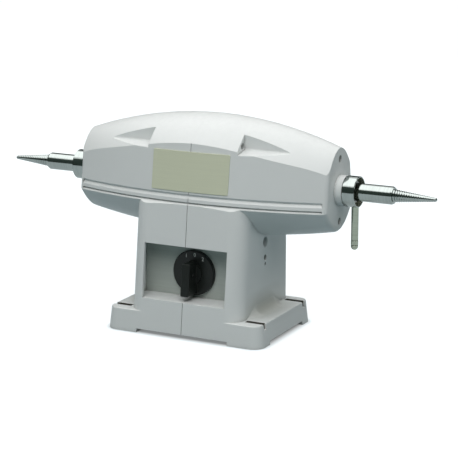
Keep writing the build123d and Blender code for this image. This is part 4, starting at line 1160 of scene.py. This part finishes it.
def build_sky():
    """White backdrop where it is seen, soft light elsewhere."""
    world = bpy.data.worlds.new("studio_sky")
    bpy.context.scene.world = world
    tree = cleared_tree(world)
    back = add_node(tree, "Background", {"Color": WHITE})
    output = add_node(tree, "OutputWorld")
    seen = calc(tree, "MAXIMUM", *ray_masks(tree))
    strength = between(tree, seen, settings().studio.sky, 1.0)
    wire(tree, (strength, back.inputs["Strength"]), (back.outputs["Background"], output.inputs["Surface"]))


def area_light(name, width, depth, power, place):
    """A soft rectangular light that faces straight down until it is turned."""
    data = bpy.data.lights.new(name, "AREA")
    data.shape = "RECTANGLE"
    data.size = width
    data.size_y = depth
    data.energy = power
    lamp = bpy.data.objects.new(name, data)
    bpy.context.collection.objects.link(lamp)
    lamp.location = place
    return lamp


def aim(thing, direction):
    """Turns a light or the camera to look along a direction, upright."""
    thing.rotation_euler = direction.to_track_quat("-Z", "Y").to_euler()


def build_lights():
    """One wide soft light overhead, and two weak ones from front and back that the metal doesn't mirror."""
    values = settings().studio
    area_light("overhead_light", values.key_width, values.key_depth, values.key_power, values.key_place)
    weak = (("front_light", values.fill_power, values.fill_place),
            ("back_light", values.back_power, values.back_place))
    for name, power, place in weak:
        lamp = area_light(name, values.fill_size, values.fill_size, power, place)
        aim(lamp, Vector(values.target) - lamp.location)
        lamp.visible_glossy = False


def build_camera():
    """Camera at the photograph's angle."""
    values = settings().studio
    data = bpy.data.cameras.new("camera")
    data.lens = values.lens
    data.sensor_width = SENSOR
    camera = bpy.data.objects.new("camera", data)
    bpy.context.collection.objects.link(camera)
    level = math.cos(values.pitch)
    look = Vector((-math.sin(values.azimuth) * level, math.cos(values.azimuth) * level,
                   -math.sin(values.pitch)))
    camera.location = Vector(values.target) - values.distance * look
    aim(camera, look)
    bpy.context.scene.camera = camera


# Sidebar and registration

PIECE_STEPS = (FinishHousing, FinishPlate, FinishSwitch, FinishMotor, FinishRings, BuildSpindles, BuildLever,
               BuildScrews, BuildBolts, MarkDial, BuildStage)
GROUPS = (MouldedFinish, MetalFinish, SpindleSizes, LeverSizes, FastenerSizes, DialMarks, StudioSetup,
          MotorSettings)


class MotorPanel(Panel):
    """Lists the steps in order"""
    bl_idname = "VIEW3D_PT_polishing_motor"
    bl_label = "Polishing motor"
    bl_space_type = "VIEW_3D"
    bl_region_type = "UI"
    bl_category = "Polishing motor"

    def draw(self, context):
        for step in PIECE_STEPS:
            self.layout.operator(step.bl_idname)


def register():
    for cls in GROUPS + PIECE_STEPS + (MotorPanel,):
        bpy.utils.register_class(cls)
    bpy.types.Scene.polishing_motor = PointerProperty(type=MotorSettings)


def unregister():
    del bpy.types.Scene.polishing_motor
    for cls in reversed(GROUPS + PIECE_STEPS + (MotorPanel,)):
        bpy.utils.unregister_class(cls)


def main():
    """Runs every step in order."""
    register()
    for step in PIECE_STEPS:
        area, name = step.bl_idname.split(".")
        getattr(getattr(bpy.ops, area), name)()


if __name__ == "__main__":
    main()
